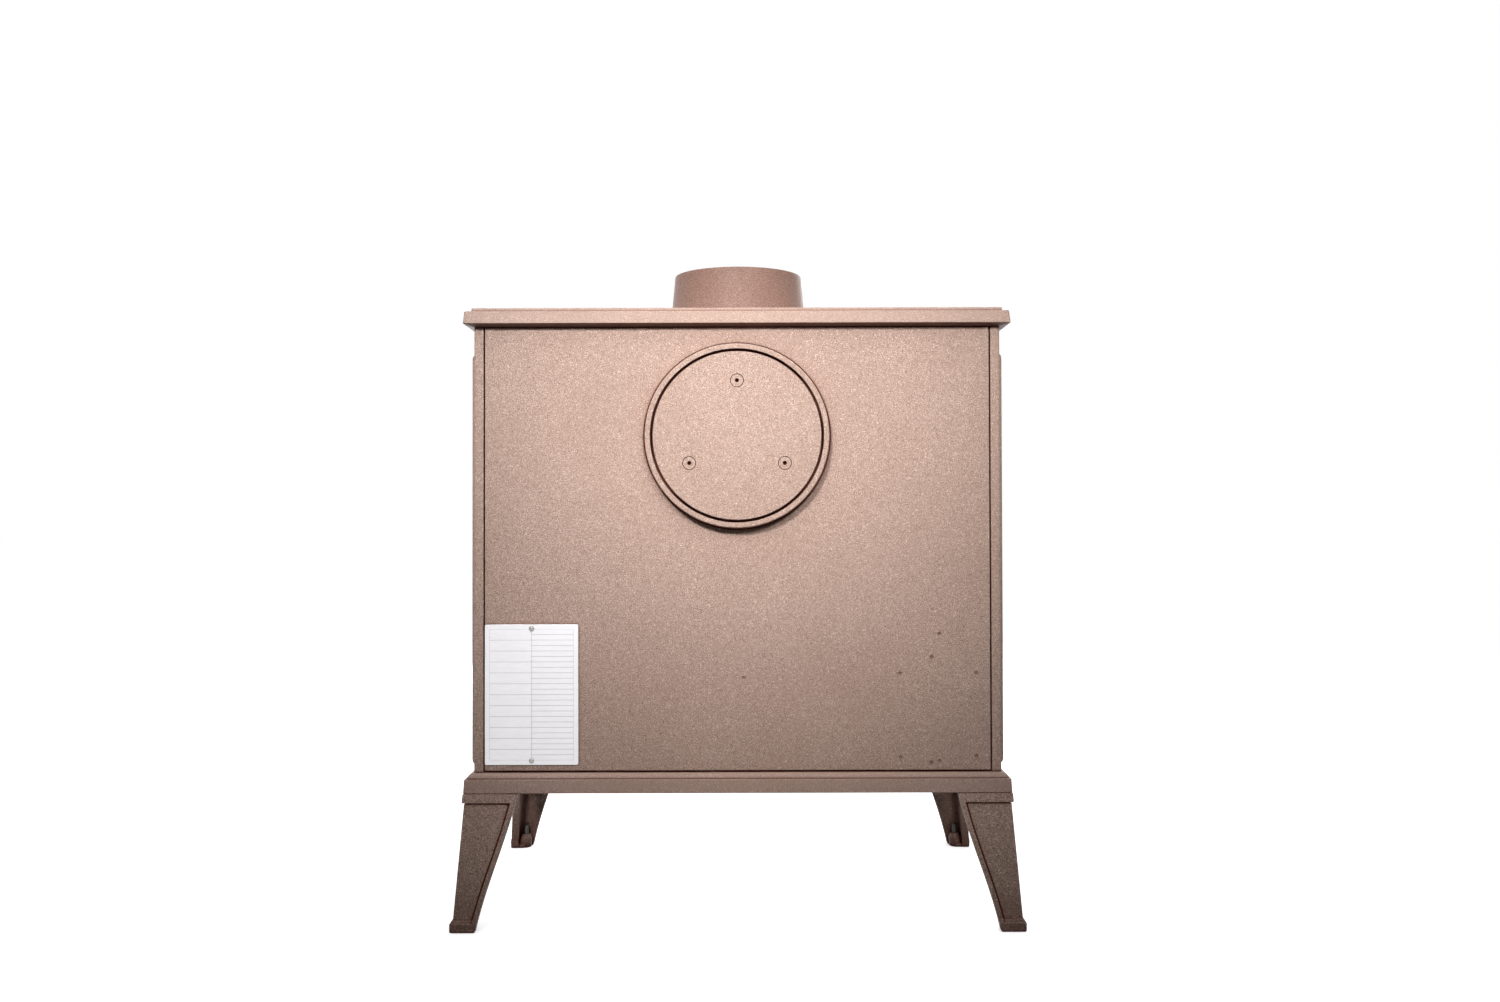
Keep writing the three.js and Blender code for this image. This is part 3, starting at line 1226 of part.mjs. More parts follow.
function fireGrate() {
  const foot = (hearthFoot + hearthTop) / 2 + SEAT;
  const top = foot + GRATE_THICKNESS;
  const x = GRATE_WIDTH / 2 - SLIP;
  const y = GRATE_DEPTH / 2 - SLIP;
  const innerX = x - GRATE_BORDER;
  const innerY = y - GRATE_BORDER;
  const border = cut(
    block([-x, x], [-y, y], [foot, top]),
    block([-innerX, innerX], [-innerY, innerY], [foot - OVERCUT, top + OVERCUT]));
  const pitch = 2 * innerX / (GRATE_BARS + 1);
  const bars = Array.from({ length: GRATE_BARS }, (_, index) => {
    const middle = -innerX + (index + 1) * pitch;
    return block(
      [middle - GRATE_BAR / 2, middle + GRATE_BAR / 2],
      [-innerY - OVERCUT, innerY + OVERCUT],
      [foot, top]);
  });
  return piece('fire_grate', bareIron, join(border, ...bars));
}

const linerHalf = hearthHalf - LINER;

// Height of the underside of the baffle at a place from front (-) to rear (+).
function baffleUnderside(y) {
  return baffleRear + BAFFLE_RISE * (rearSeat - y) / (rearSeat + baffleFront);
}

function sideLiner(name, side) {
  const foot = hearthTop + SEAT;
  const frontTop = baffleUnderside(-baffleFront) - SEAT;
  const outline = [
    [rearSeat, foot],
    [rearSeat, baffleUnderside(rearSeat) - SEAT],
    [-baffleFront, frontTop],
    [-linerFront, frontTop],
    [-linerFront, foot],
  ];
  const mesh = piece(name, firebrick, prism(outline, linerHalf, hearthHalf, SIDE));
  mesh.scale.x = side;
  return mesh;
}

function rearLiner() {
  const half = linerHalf - SEAT;
  const foot = hearthTop + SEAT;
  const top = baffleUnderside(rearSeat) - SEAT;
  return piece('rear_liner', firebrick, prism([
    [rearSeat, foot],
    [rearSeat, top],
    [rearSeat - LINER, top],
    [rearSeat - LINER, foot],
  ], -half, half, SIDE));
}

function bafflePlate() {
  const rear = baffleUnderside(rearSeat);
  const front = baffleUnderside(-baffleFront);
  return piece('baffle_plate', firebrick, prism([
    [rearSeat, rear],
    [rearSeat, rear + BAFFLE_THICKNESS],
    [-baffleFront, front + BAFFLE_THICKNESS],
    [-baffleFront, front],
  ], -hearthHalf, hearthHalf, SIDE));
}

function logRetainer() {
  const back = linerFront + SLIP;
  const front = back + FENDER_THICKNESS;
  const foot = hearthTop + SEAT;
  const top = foot + FENDER_HEIGHT;
  const rails = [foot, top - FENDER_RAIL].map((low) => block(
    [-hearthHalf, hearthHalf], [-back, -front], [low, low + FENDER_RAIL]));
  const pitch = 2 * (hearthHalf - FENDER_RAIL / 2) / (FENDER_BARS - 1);
  const bars = Array.from({ length: FENDER_BARS }, (_, index) => {
    const x = (index - (FENDER_BARS - 1) / 2) * pitch;
    return block([x - FENDER_RAIL / 2, x + FENDER_RAIL / 2], [-back, -front], [foot, top]);
  });
  return piece('log_retainer', bareIron, join(...rails, ...bars));
}

// The whole stove
const stove = new THREE.Group();
stove.position.y = (frontReach - rearReach) / 2;
stove.add(
  basePlate(),
  sidePlate('side_plate_left', -1),
  sidePlate('side_plate_right', 1),
  rearPlate(),
  frontPlate(),
  topPlate(),
  flueCollar(),
  ...socketScrews('collar_screw', topSurface + TOP_RING_RAISE, UP, [0, 0]),
  blankingPlate(),
  ...socketScrews('blanking_screw', halfDepth + REAR_RING_RAISE, REAR, [0, outletHeight]),
  dataPlate(),
  ...dataPlateScrews(),
  ...cornerPieces(),
  ...hingePins(),
  hearthPlate(),
  fireGrate(),
  sideLiner('side_liner_left', -1),
  sideLiner('side_liner_right', 1),
  rearLiner(),
  bafflePlate(),
  logRetainer(),
  doorFrame(),
  doorGlass(),
  glassSeal(),
  glassRetainer(),
  ...glassScrews(),
  doorSeal(),
  handleGroup(),
  airSlide('primary_air_slide', primaryHeight),
  airKnob('primary_air_knob', primaryHeight),
  airSlide('secondary_air_slide', secondaryHeight),
  airKnob('secondary_air_knob', secondaryHeight),
  ashDrawer(),
  ashDrawerFront(),
  ashDrawerKnob(),
);

const group = new THREE.Group();
group.add(stove);

export default group;
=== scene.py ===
# Looks of a cast iron wood stove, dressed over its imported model.
# Metres, +Z up. The door faces -Y and the camera looks at the rear.
import json
import math

import bmesh
import bpy
from mathutils import Matrix, Vector

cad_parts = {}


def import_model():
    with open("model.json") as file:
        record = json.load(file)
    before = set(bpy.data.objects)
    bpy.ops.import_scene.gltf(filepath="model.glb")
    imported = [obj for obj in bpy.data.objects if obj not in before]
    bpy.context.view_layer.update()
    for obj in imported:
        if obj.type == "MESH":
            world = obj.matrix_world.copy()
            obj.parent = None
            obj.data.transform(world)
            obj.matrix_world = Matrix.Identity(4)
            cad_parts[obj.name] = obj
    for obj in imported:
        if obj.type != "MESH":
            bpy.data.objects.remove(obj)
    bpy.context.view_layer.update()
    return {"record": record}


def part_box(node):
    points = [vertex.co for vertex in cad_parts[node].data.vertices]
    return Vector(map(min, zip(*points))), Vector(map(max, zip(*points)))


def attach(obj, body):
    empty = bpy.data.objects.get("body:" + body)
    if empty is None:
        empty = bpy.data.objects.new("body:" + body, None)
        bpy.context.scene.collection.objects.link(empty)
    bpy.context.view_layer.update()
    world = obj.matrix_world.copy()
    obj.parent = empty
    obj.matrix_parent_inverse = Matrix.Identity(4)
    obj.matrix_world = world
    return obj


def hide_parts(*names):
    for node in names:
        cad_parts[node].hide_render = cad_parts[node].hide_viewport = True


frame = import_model()

MM = 0.001
CORNERS = {"front_left": (-1, -1), "front_right": (1, -1), "rear_left": (-1, 1), "rear_right": (1, 1)}


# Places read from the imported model
def low(node):
    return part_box(node)[0]


def high(node):
    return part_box(node)[1]


def centre(node):
    return (low(node) + high(node)) / 2


def half(node):
    return (high(node) - low(node)) / 2


def heights(node):
    return low(node).z, high(node).z


def depths(node):
    """How far a node's back and face stand in front of the middle of the stove."""
    return MID - high(node).y, MID - low(node).y


SEAT = 0.3 * MM
SLIP = 0.4 * MM
WALL = 8 * MM
REAR_RING_RAISE = 12 * MM
TOP_RING_RAISE = 8 * MM
SIDE_STRIP = 10.4 * MM
PANEL_GROOVE = 1.2 * MM
MID = (low("leg_front_left").y + high("leg_rear_left").y) / 2
HALF_DEPTH = high("rear_plate").y - REAR_RING_RAISE - MID
PANEL_INSIDE = HALF_DEPTH - WALL
PANEL_HALF = high("rear_plate").x
PANEL_FOOT = low("rear_plate").z
HALF_WIDTH = PANEL_HALF + PANEL_GROOVE + SIDE_STRIP
WALL_INSIDE = HALF_WIDTH - WALL
BODY_FOOT = low("side_plate_right").z
BODY_TOP = high("side_plate_right").z
DECK_TOP = BODY_FOOT - SEAT
LEG_TOP = low("base_plate").z
OUTLET_HEIGHT = centre("blanking_plate").z
TOP_FOOT = low("top_plate").z
CROWN = high("top_plate").z
TOP_SURFACE = CROWN - TOP_RING_RAISE
RIM_TOP = high("flue_collar").z
TOE_X = high("leg_rear_right").x
TOE_Y = high("leg_rear_right").y - MID
DOOR_HALF_WIDTH = high("door_frame").x
DOOR_MIDDLE = centre("door_frame").z
DOOR_HALF_HEIGHT = high("door_frame").z - DOOR_MIDDLE
DOOR_BACK = HALF_DEPTH + 3 * MM
DOOR_FACE = DOOR_BACK + 16 * MM

# Roundness
FINE_EDGE = 0.3 * MM
SMALL_EDGE = 0.5 * MM
CAST_EDGE = 0.7 * MM
SOFT_EDGE = 1.2 * MM
BRICK_EDGE = 1.6 * MM
BLOCK_CORNER = 1.3
LARGE_SIDES = 144
MEDIUM_SIDES = 64
SMALL_SIDES = 32
HEXAGON = 6
SHARP_ANGLE = 38
# The most of a side that a rounding takes up, and the narrowest angle that an inset follows
ROUNDING_SHARE = 0.45
MITRE_LIMIT = 0.3
# How far joined shells reach into each other, and the strip of flat face where a profile ends
OVERLAP = 1 * MM
FLAT = 1 * MM
ON_AXIS = 1e-6


# Ways to stand a shape that is drawn on two axes and rises along the third
def upright(sign_x=1, sign_y=1):
    return lambda u, v, w: (sign_x * u, MID + sign_y * v, w)


def rear(u, v, w):
    return (u, MID + w, v)


def front(u, v, w):
    return (u, MID - w, v)


def side(sign=1):
    return lambda u, v, w: (sign * w, MID + u, v)


# Outlines
def shares(steps):
    """Even shares from 0 to 1."""
    return [step / steps for step in range(steps + 1)]


def about(middle, reach):
    return (middle - reach, middle + reach)


def polar(radius, angle, at=(0, 0)):
    return (at[0] + radius * math.cos(angle), at[1] + radius * math.sin(angle))


def circle(radius, sides=SMALL_SIDES, at=(0, 0)):
    return [polar(radius, turn * math.tau / sides, at) for turn in range(sides)]


def rounded(half_u, half_v, radius, at=(0, 0), steps=5):
    """A rectangle with round corners, each drawn round its own middle."""
    points = []
    for corner, (sign_u, sign_v) in enumerate(((1, 1), (-1, 1), (-1, -1), (1, -1))):
        middle = (at[0] + sign_u * (half_u - radius), at[1] + sign_v * (half_v - radius))
        points += [polar(radius, (corner + share) * math.pi / 2, middle) for share in shares(steps)]
    return points


def soften(points, radius=None, steps=3, closed=False):
    """A line with its corners rounded off, by one radius or by the third value of each point."""
    places = [Vector(point[:2]) for point in points]
    result = []
    for index, here in enumerate(places):
        size = points[index][2] if radius is None else radius
        if size == 0 or not closed and index in (0, len(points) - 1):
            result.append(tuple(here))
            continue
        before = places[index - 1] - here
        after = places[(index + 1) % len(points)] - here
        cut = min(size, ROUNDING_SHARE * before.length, ROUNDING_SHARE * after.length)
        start = here + before.normalized() * cut
        end = here + after.normalized() * cut
        for share in shares(steps):
            result.append(tuple(start.lerp(here, share).lerp(here.lerp(end, share), share)))
    return result


def shrink(outline, distance):
    """A closed outline drawn in by a distance, or widened by a negative one."""
    if distance == 0:
        return outline
    points = [Vector(point) for point in outline]
    count = len(points)
    area = sum(points[i - 1].x * points[i].y - points[i].x * points[i - 1].y for i in range(count))
    inwards = 1 if area > 0 else -1
    result = []
    for i, here in enumerate(points):
        back = (here - points[i - 1]).normalized()
        ahead = (points[(i + 1) % count] - here).normalized()
        normal = Vector((-back.y - ahead.y, back.x + ahead.x)) * inwards
        result.append(tuple(here + normal / max(1 + back.dot(ahead), MITRE_LIMIT) * distance))
    return result


def resampled(outline, spacing):
    """Points at equal distances along a closed outline, with the direction at each."""
    points = [Vector(point) for point in outline]
    lengths = [(points[(i + 1) % len(points)] - point).length for i, point in enumerate(points)]
    count = round(sum(lengths) / spacing)
    result, index, passed = [], 0, 0.0
    for step in range(count):
        along = step * sum(lengths) / count
        while along > passed + lengths[index]:
            passed += lengths[index]
            index += 1
        start, end = points[index], points[(index + 1) % len(points)]
        result.append((start.lerp(end, (along - passed) / lengths[index]), (end - start).normalized()))
    return result


# Contours: outlines with their heights, from a profile that lists a distance and a height for each
def rim(edge, foot, top, steps=3):
    """The profile of a slab with rounded edges."""
    arc = [share * math.pi / 2 for share in shares(steps)]
    lower = [(edge * (1 - math.sin(a)), foot + edge * (1 - math.cos(a))) for a in arc]
    upper = [(edge * (1 - math.cos(a)), top - edge * (1 - math.sin(a))) for a in arc]
    return lower + upper


def drawn_in(outline, profile):
    return [(shrink(outline, inset), height) for inset, height in profile]


def widened(outline, profile):
    return [(shrink(outline, -reach), height) for reach, height in profile]


def circles(profile, at=(0, 0), sides=SMALL_SIDES):
    return [(circle(radius, sides, at), height) for radius, height in profile]


def rectangles(half_u, half_v, corner, profile, at=(0, 0), steps=5):
    """Rounded rectangles that each reach further out, all with the same corner."""
    return [(rounded(half_u + reach, half_v + reach, corner, at, steps), height) for reach, height in profile]


class Form:
    """The mesh of one piece, put together from closed shells."""

    def __init__(self, place):
        self.mesh = bmesh.new()
        self.place = place

    def loop(self, outline, height):
        return [self.mesh.verts.new(self.place(u, v, height)) for u, v in outline]

    def bridge(self, first, second):
        for i, point in enumerate(first):
            following = (i + 1) % len(first)
            self.mesh.faces.new((point, first[following], second[following], second[i]))

    def wall(self, contour):
        """Faces between the layers of a contour. Returns its first and its last loop."""
        loops = [self.loop(outline, height) for outline, height in contour]
        for first, second in zip(loops, loops[1:]):
            self.bridge(first, second)
        return loops[0], loops[-1]

    def lid(self, loops):
        """A flat face inside the first loop and outside the others, nested loops included."""
        if len(loops) == 1:
            self.mesh.faces.new(loops[0])
            return
        edges = []
        for loop in loops:
            for i, point in enumerate(loop):
                pair = (loop[i - 1], point)
                edges.append(self.mesh.edges.get(pair) or self.mesh.edges.new(pair))
        bmesh.ops.triangle_fill(self.mesh, edges=edges, use_beauty=True)

    def plate(self, through, top=(), bottom_grooves=()):
        """Closed shell between contours that list their layers from the bottom to the top.
        Blind pockets list theirs from the floor to the top, and a groove starts and ends on the bottom."""
        bottoms, tops = [], []
        for contour in through:
            first, last = self.wall(contour)
            bottoms.append(first)
            tops.append(last)
        for contour in top:
            floor, mouth = self.wall(contour)
            self.lid([floor])
            tops.append(mouth)
        for contour in bottom_grooves:
            bottoms.extend(self.wall(contour))
        self.lid(bottoms)
        self.lid(tops)

    def slab(self, outline, foot, top, edge=CAST_EDGE, holes=()):
        profile = rim(edge, foot, top)
        self.plate([drawn_in(outline, profile)] + [widened(hole, profile) for hole in holes])

    def block(self, u, v, w, edge=CAST_EDGE):
        half_u, half_v = abs(u[1] - u[0]) / 2, abs(v[1] - v[0]) / 2
        at = ((u[0] + u[1]) / 2, (v[0] + v[1]) / 2)
        self.slab(rounded(half_u, half_v, edge * BLOCK_CORNER, at, steps=3), min(w), max(w), edge)

    def turned(self, profile, at=(0, 0), sides=MEDIUM_SIDES, closed=False):
        """A profile of radius and height turned round an axis that stands at a point."""
        rings = []
        for radius, height in profile:
            outline = [at] if radius < ON_AXIS else circle(radius, sides, at)
            rings.append(self.loop(outline, height))
        pairs = list(zip(rings, rings[1:])) + ([(rings[-1], rings[0])] if closed else [])
        for first, second in pairs:
            if len(first) > 1 and len(second) > 1:
                self.bridge(first, second)
                continue
            tip, ring = (first[0], second) if len(first) == 1 else (second[0], first)
            for i, point in enumerate(ring):
                self.mesh.faces.new((tip, point, ring[(i + 1) % len(ring)]))


def added(name, data):
    made = bpy.data.objects.new(name, data)
    bpy.context.scene.collection.objects.link(made)
    return made


def smooth_shading(shown, angle):
    """Sharp edges only above an angle."""
    shown.data.polygons.foreach_set("use_smooth", [True] * len(shown.data.polygons))
    shown.data.set_sharp_from_angle(angle=math.radians(angle))


def object_of(form, name, angle=SHARP_ANGLE):
    bmesh.ops.recalc_face_normals(form.mesh, faces=form.mesh.faces)
    data = bpy.data.meshes.new(name)
    form.mesh.to_mesh(data)
    form.mesh.free()
    shown = added(name, data)
    smooth_shading(shown, angle)
    return shown


def carve(shown, cutters, angle):
    """Cuts the cutters' forms out of an object's mesh."""
    for index, cutter in enumerate(cutters):
        tool = object_of(cutter, f"cutter_{index}", angle)
        modifier = shown.modifiers.new("carve", "BOOLEAN")
        modifier.object = tool
        modifier.solver = "EXACT"
        bpy.context.view_layer.update()
        evaluated = shown.evaluated_get(bpy.context.evaluated_depsgraph_get())
        shown.data = bpy.data.meshes.new_from_object(evaluated)
        shown.modifiers.clear()
        bpy.data.objects.remove(tool)
    smooth_shading(shown, angle)


def join(shown, form):
    """Adds a form to an object's mesh."""
    other = object_of(form, "joined")
    both = bmesh.new()
    both.from_mesh(shown.data)
    both.from_mesh(other.data)
    both.to_mesh(shown.data)
    both.free()
    bpy.data.objects.remove(other)
    smooth_shading(shown, SHARP_ANGLE)


def show(node, form, cutters=(), angle=SHARP_ANGLE):
    """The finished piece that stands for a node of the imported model."""
    shown = object_of(form, node + "_form", angle)
    carve(shown, cutters, angle)
    weigh = shown.modifiers.new("weighted_normals", "WEIGHTED_NORMAL")
    weigh.keep_sharp = True
    shown.data.materials.clear()
    shown.data.materials.append(MATERIALS[FINISH_AND_SHADE_OF.get(node, SLOT_OF[node])])
    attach(shown, BODY_OF[node])
    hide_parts(node)
    return shown


def show_slab(node, place, outline, span, edge=CAST_EDGE, holes=()):
    """A piece that is one slab, from the foot to the top of its span."""
    form = Form(place)
    form.slab(outline, *span, edge, holes)
    show(node, form)


def show_turned(node, place, profile, at=(0, 0), angle=SHARP_ANGLE):
    """A piece that is one turned shape."""
    form = Form(place)
    form.turned(profile, at)
    show(node, form, angle=angle)


SLOT_OF = {row["node"]: row["material_slot"] for row in frame["record"]["subparts"]}
BODY_OF = {node: body for body, nodes in frame["record"]["behaviour"]["bodies"].items() for node in nodes}
# Nodes whose paint differs from the one of their slot: a smoother finish on the top and base plates, and
# darker copies of the paint as painted shade on the collar and the legs
FINISH_AND_SHADE_OF = {"top_plate": "painted_smooth", "base_plate": "painted_smooth", "flue_collar": "painted_collar"}
FINISH_AND_SHADE_OF.update({f"leg_{corner}": "painted_leg" for corner in CORNERS})


# Materials
def srgb(red, green, blue):
    """Linear colour of values from 0 to 255."""
    levels = [value / 255 for value in (red, green, blue)]
    return tuple(v / 12.92 if v <= 0.04045 else ((v + 0.055) / 1.055) ** 2.4 for v in levels) + (1.0,)


class Tree:
    """The nodes of a material or of the world."""

    def __init__(self, owner):
        owner.use_nodes = True
        self.tree = owner.node_tree
        self.tree.nodes.clear()

    def node(self, kind, inputs=None, **settings):
        made = self.tree.nodes.new(kind)
        for name, value in settings.items():
            setattr(made, name, value)
        for name, value in (inputs or {}).items():
            self.put(made.inputs[name], value)
        return made

    def put(self, socket, value):
        if isinstance(value, bpy.types.NodeSocket):
            self.tree.links.new(value, socket)
        else:
            socket.default_value = value

    def math(self, operation, *values):
        return self.node("ShaderNodeMath", dict(enumerate(values)), operation=operation).outputs[0]

    def times(self, first, *others):
        for other in others:
            first = self.math("MULTIPLY", first, other)
        return first

    def ramp(self, value, start, end, to_start=0.0, to_end=1.0):
        inputs = {"Value": value, "From Min": start, "From Max": end, "To Min": to_start, "To Max": to_end}
        return self.node("ShaderNodeMapRange", inputs).outputs[0]

    def openness(self, distance, samples=16):
        """1 on open surfaces, falling to 0 in corners and gaps narrower than a distance."""
        return self.node("ShaderNodeAmbientOcclusion", {"Distance": distance}, samples=samples).outputs["AO"]

    def pale_rays(self):
        """1 for rays that show the pale background: the camera's, and those in metal and glass."""
        path = self.node("ShaderNodeLightPath").outputs
        seen = self.math("MAXIMUM", path["Is Camera Ray"], path["Is Glossy Ray"])
        return self.math("MAXIMUM", seen, path["Is Transmission Ray"])


class Shader(Tree):
    """A surface material. Positions are in metres on the piece itself."""

    def __init__(self, name):
        self.material = bpy.data.materials.new(name)
        super().__init__(self.material)
        self.position = self.node("ShaderNodeTexCoord").outputs["Object"]
        self.surface = self.node("ShaderNodeBsdfPrincipled")
        self.node("ShaderNodeOutputMaterial", {"Surface": self.surface.outputs[0]})

    def set(self, **values):
        for name, value in values.items():
            self.put(self.surface.inputs[name.replace("_", " ")], value)

    def stretched(self, x=1.0, y=1.0, z=1.0):
        return self.node("ShaderNodeMapping", {"Vector": self.position, "Scale": (x, y, z)}).outputs[0]

    def noise(self, scale, detail=2.0, roughness=0.5, at=None):
        inputs = {"Vector": at or self.position, "Scale": scale, "Detail": detail, "Roughness": roughness}
        return self.node("ShaderNodeTexNoise", inputs).outputs[0]

    def flakes(self, scale):
        """A random value for each cell of a flaky pattern."""
        cells = self.node("ShaderNodeTexVoronoi", {"Vector": self.position, "Scale": scale}, feature="F1")
        return self.node("ShaderNodeSeparateColor", {"Color": cells.outputs[1]}).outputs[0]

    def mix(self, share, first, second):
        return self.node("ShaderNodeMix", {0: share, 6: first, 7: second}, data_type="RGBA").outputs[2]

    def between(self, value, start, end, first, second):
        """A first colour where a value is low and a second one where it is high."""
        return self.mix(self.ramp(value, start, end), srgb(*first), srgb(*second))

    def tint(self, colour, value, start, end, share, second):
        """A colour that a second one covers up to a share where a value is high."""
        return self.mix(self.ramp(value, start, end, 0, share), colour, srgb(*second))

    def within(self, value, start, end):
        """1 where a value lies between two others."""
        return self.math("COMPARE", value, (start + end) / 2, (end - start) / 2)

    def bump(self, *layers):
        """Each layer is a height from 0 to 1 and its depth in metres."""
        normal = None
        for height, depth in layers:
            inputs = {"Height": height, "Distance": depth, "Strength": 1.0}
            if normal:
                inputs["Normal"] = normal
            normal = self.node("ShaderNodeBump", inputs).outputs[0]
        self.set(Normal=normal)


# Strength of the flecks, roughness of the grain, brightness in the open and in corners, and how far a
# corner's shadow reaches, for each kind of casting.
# Both brightnesses are painted shade: the collar and the legs are darker shaded copies of the paint, and the
# legs get a deep painted shade that reaches far into their insides. What is left out is as painted() has it.
PAINTS_AND_SHADES = {
    "painted_iron": {"contrast": 1.0, "texture": 1.0},
    "painted_smooth": {"contrast": 0.5, "texture": 0.4, "shadow": 0.95},
    "painted_leg": {"contrast": 1.3, "texture": 1.4, "shade": 0.93, "reach": 70 * MM, "shadow": 0.2},
    "painted_collar": {"contrast": 0.8, "texture": 0.7, "shade": 0.5},
}
PAINT_GRAIN = 1080
PAINT_FLAKES = 1500
FLECK_COVER = 0.6
# How far the painted shade in crevices reaches, and how bright undersides stay under their painted shade
CREVICE_SHADE_REACH = 3.4 * MM
UNDERSIDE_SHADE = 0.4


def painted(name, contrast, texture, shade=1.0, reach=26 * MM, shadow=0.6):
    """Bronze stove paint: fine grain with pale and dark flecks, and painted shade in dark brown in crevices,
    in corners and on undersides.
    """
    shader = Shader(name)
    grain = shader.noise(PAINT_GRAIN, 2, 0.8)
    patches = shader.noise(7, 3)
    chance = shader.flakes(PAINT_FLAKES)
    fleck = shader.times(shader.ramp(chance, 0.95, 0.975), contrast)
    speck = shader.times(shader.ramp(chance, 0.07, 0.045), contrast)
    spread = 0.12 / contrast
    paint = shader.between(grain, 0.5 - spread, 0.5 + spread, (139, 115, 103), (212, 182, 168))
    paint = shader.tint(paint, patches, 0.35, 0.65, 0.3, (164, 134, 119))
    paint = shader.mix(shader.times(fleck, FLECK_COVER), paint, srgb(248, 228, 210))
    paint = shader.mix(shader.times(speck, FLECK_COVER), paint, srgb(84, 62, 52))
    # Painted shade: the paint turns dark brown in crevices, in corners and on undersides. It is also darker
    # in the open where a casting's brightness there is below 1.
    painted_crevice_shade = shader.ramp(shader.openness(CREVICE_SHADE_REACH, 8), 0.56, 0.97)
    wide = shader.ramp(shader.openness(reach, 8), 0.3, 0.95, shadow, shade)
    normal = shader.node("ShaderNodeNewGeometry").outputs["Normal"]
    facing = shader.node("ShaderNodeSeparateXYZ", {"Vector": normal}).outputs["Z"]
    painted_underside_shade = shader.ramp(facing, -0.98, -0.6, UNDERSIDE_SHADE, 1)
    paint = shader.mix(shader.times(painted_crevice_shade, wide, painted_underside_shade), srgb(88, 38, 22), paint)
    shader.set(
        Base_Color=paint, Metallic=shader.ramp(fleck, 0, 1, 0.0, 0.4),
        Roughness=shader.ramp(grain, 0.3, 0.7, 0.56, 0.46), Specular_IOR_Level=0.16)
    shader.bump(
        (shader.noise(46, 2), 0.3 * MM),
        (shader.noise(620, 2), texture * 0.06 * MM),
        (grain, texture * 0.09 * MM))
    return shader.material


def bare_iron():
    """Dark sand-cast iron with a faint brown bloom."""
    shader = Shader("bare_iron")
    grain = shader.noise(520, 3, 0.6)
    bloom = shader.noise(18, 4, 0.6)
    colour = shader.between(grain, 0.35, 0.65, (52, 49, 47), (92, 87, 83))
    colour = shader.tint(colour, bloom, 0.5, 0.72, 0.5, (92, 66, 50))
    shader.set(Base_Color=colour, Metallic=0.45, Roughness=shader.ramp(grain, 0.3, 0.7, 0.72, 0.55))
    shader.bump((shader.noise(60, 2), 0.4 * MM), (grain, 0.18 * MM))
    return shader.material


def steel():
    """Plain steel with fine turning and rolling marks."""
    shader = Shader("steel")
    marks = shader.noise(90, 3, 0.6, shader.stretched(z=14))
    smudge = shader.noise(35, 3)
    colour = shader.between(marks, 0.3, 0.7, (150, 149, 147), (190, 188, 184))
    shader.set(Base_Color=colour, Metallic=0.9, Roughness=shader.ramp(smudge, 0.3, 0.7, 0.26, 0.42))
    shader.bump((marks, 0.03 * MM))
    return shader.material


def dark_steel():
    """Blackened steel, brighter where it is handled."""
    shader = Shader("dark_steel")
    grain = shader.noise(700, 2)
    worn = shader.noise(55, 4, 0.65)
    colour = shader.between(grain, 0.3, 0.7, (58, 55, 53), (84, 80, 77))
    colour = shader.tint(colour, worn, 0.58, 0.75, 0.6, (124, 118, 112))
    shader.set(Base_Color=colour, Metallic=0.75, Roughness=shader.ramp(worn, 0.4, 0.75, 0.5, 0.34))
    shader.bump((grain, 0.05 * MM))
    return shader.material


PLATE_BORDER = 5 * MM
PLATE_LINE = 0.45 * MM
PLATE_ROWS = 12
PLATE_INK = 0.55


def rulings(shader, left, right, foot, top):
    """1 on the lines of a plate's blank boxes. The left column's rows are halved."""
    place = shader.node("ShaderNodeSeparateXYZ", {"Vector": shader.position})
    across, up = place.outputs["X"], place.outputs["Z"]
    middle, row = (left + right) / 2, (top - foot) / PLATE_ROWS
    row_height = shader.math("WRAP", up, foot + row, foot)
    half_row = shader.math("COMPARE", row_height, foot + row / 2, PLATE_LINE / 2)
    lines = shader.times(shader.within(across, left, middle), half_row)
    places = [(across, line) for line in (left, middle, right)]
    places += [(up, foot + row * index) for index in range(PLATE_ROWS + 1)]
    for value, line in places:
        lines = shader.math("MAXIMUM", lines, shader.math("COMPARE", value, line, PLATE_LINE / 2))
    return shader.times(lines, shader.within(across, left, right), shader.within(up, foot, top))


def plate_aluminium():
    """Satin silver-white sheet with a faint rolled grain and blank ruled boxes."""
    shader = Shader("plate_aluminium")
    rolled = shader.noise(120, 3, 0.6, shader.stretched(z=9))
    cloud = shader.noise(22, 3)
    colour = shader.between(rolled, 0.3, 0.7, (240, 238, 241), (250, 248, 250))
    colour = shader.tint(colour, cloud, 0.4, 0.7, 0.3, (232, 230, 234))
    first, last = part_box("data_plate")
    lines = rulings(
        shader, first.x + PLATE_BORDER, last.x - PLATE_BORDER, first.z + PLATE_BORDER, last.z - PLATE_BORDER)
    colour = shader.mix(shader.times(lines, PLATE_INK), colour, srgb(96, 96, 104))
    shader.set(Base_Color=colour, Metallic=0.55, Roughness=shader.ramp(cloud, 0.3, 0.7, 0.34, 0.44))
    shader.bump((rolled, 0.015 * MM))
    return shader.material


def firebrick():
    """Pressed vermiculite board: pale flakes of several sizes with open pores."""
    shader = Shader("firebrick")
    tone = shader.flakes(340)
    pores = shader.noise(420, 3, 0.7)
    soot = shader.noise(9, 4, 0.6)
    colour = shader.mix(tone, srgb(180, 153, 124), srgb(222, 203, 176))
    colour = shader.tint(colour, pores, 0.56, 0.68, 0.7, (122, 100, 80))
    colour = shader.tint(colour, soot, 0.45, 0.75, 0.45, (122, 110, 100))
    shader.set(Base_Color=colour, Roughness=shader.ramp(tone, 0, 1, 0.95, 0.8))
    shader.bump((shader.noise(70, 2), 0.3 * MM), (shader.ramp(pores, 0.5, 0.7, 1, 0), 0.35 * MM))
    return shader.material


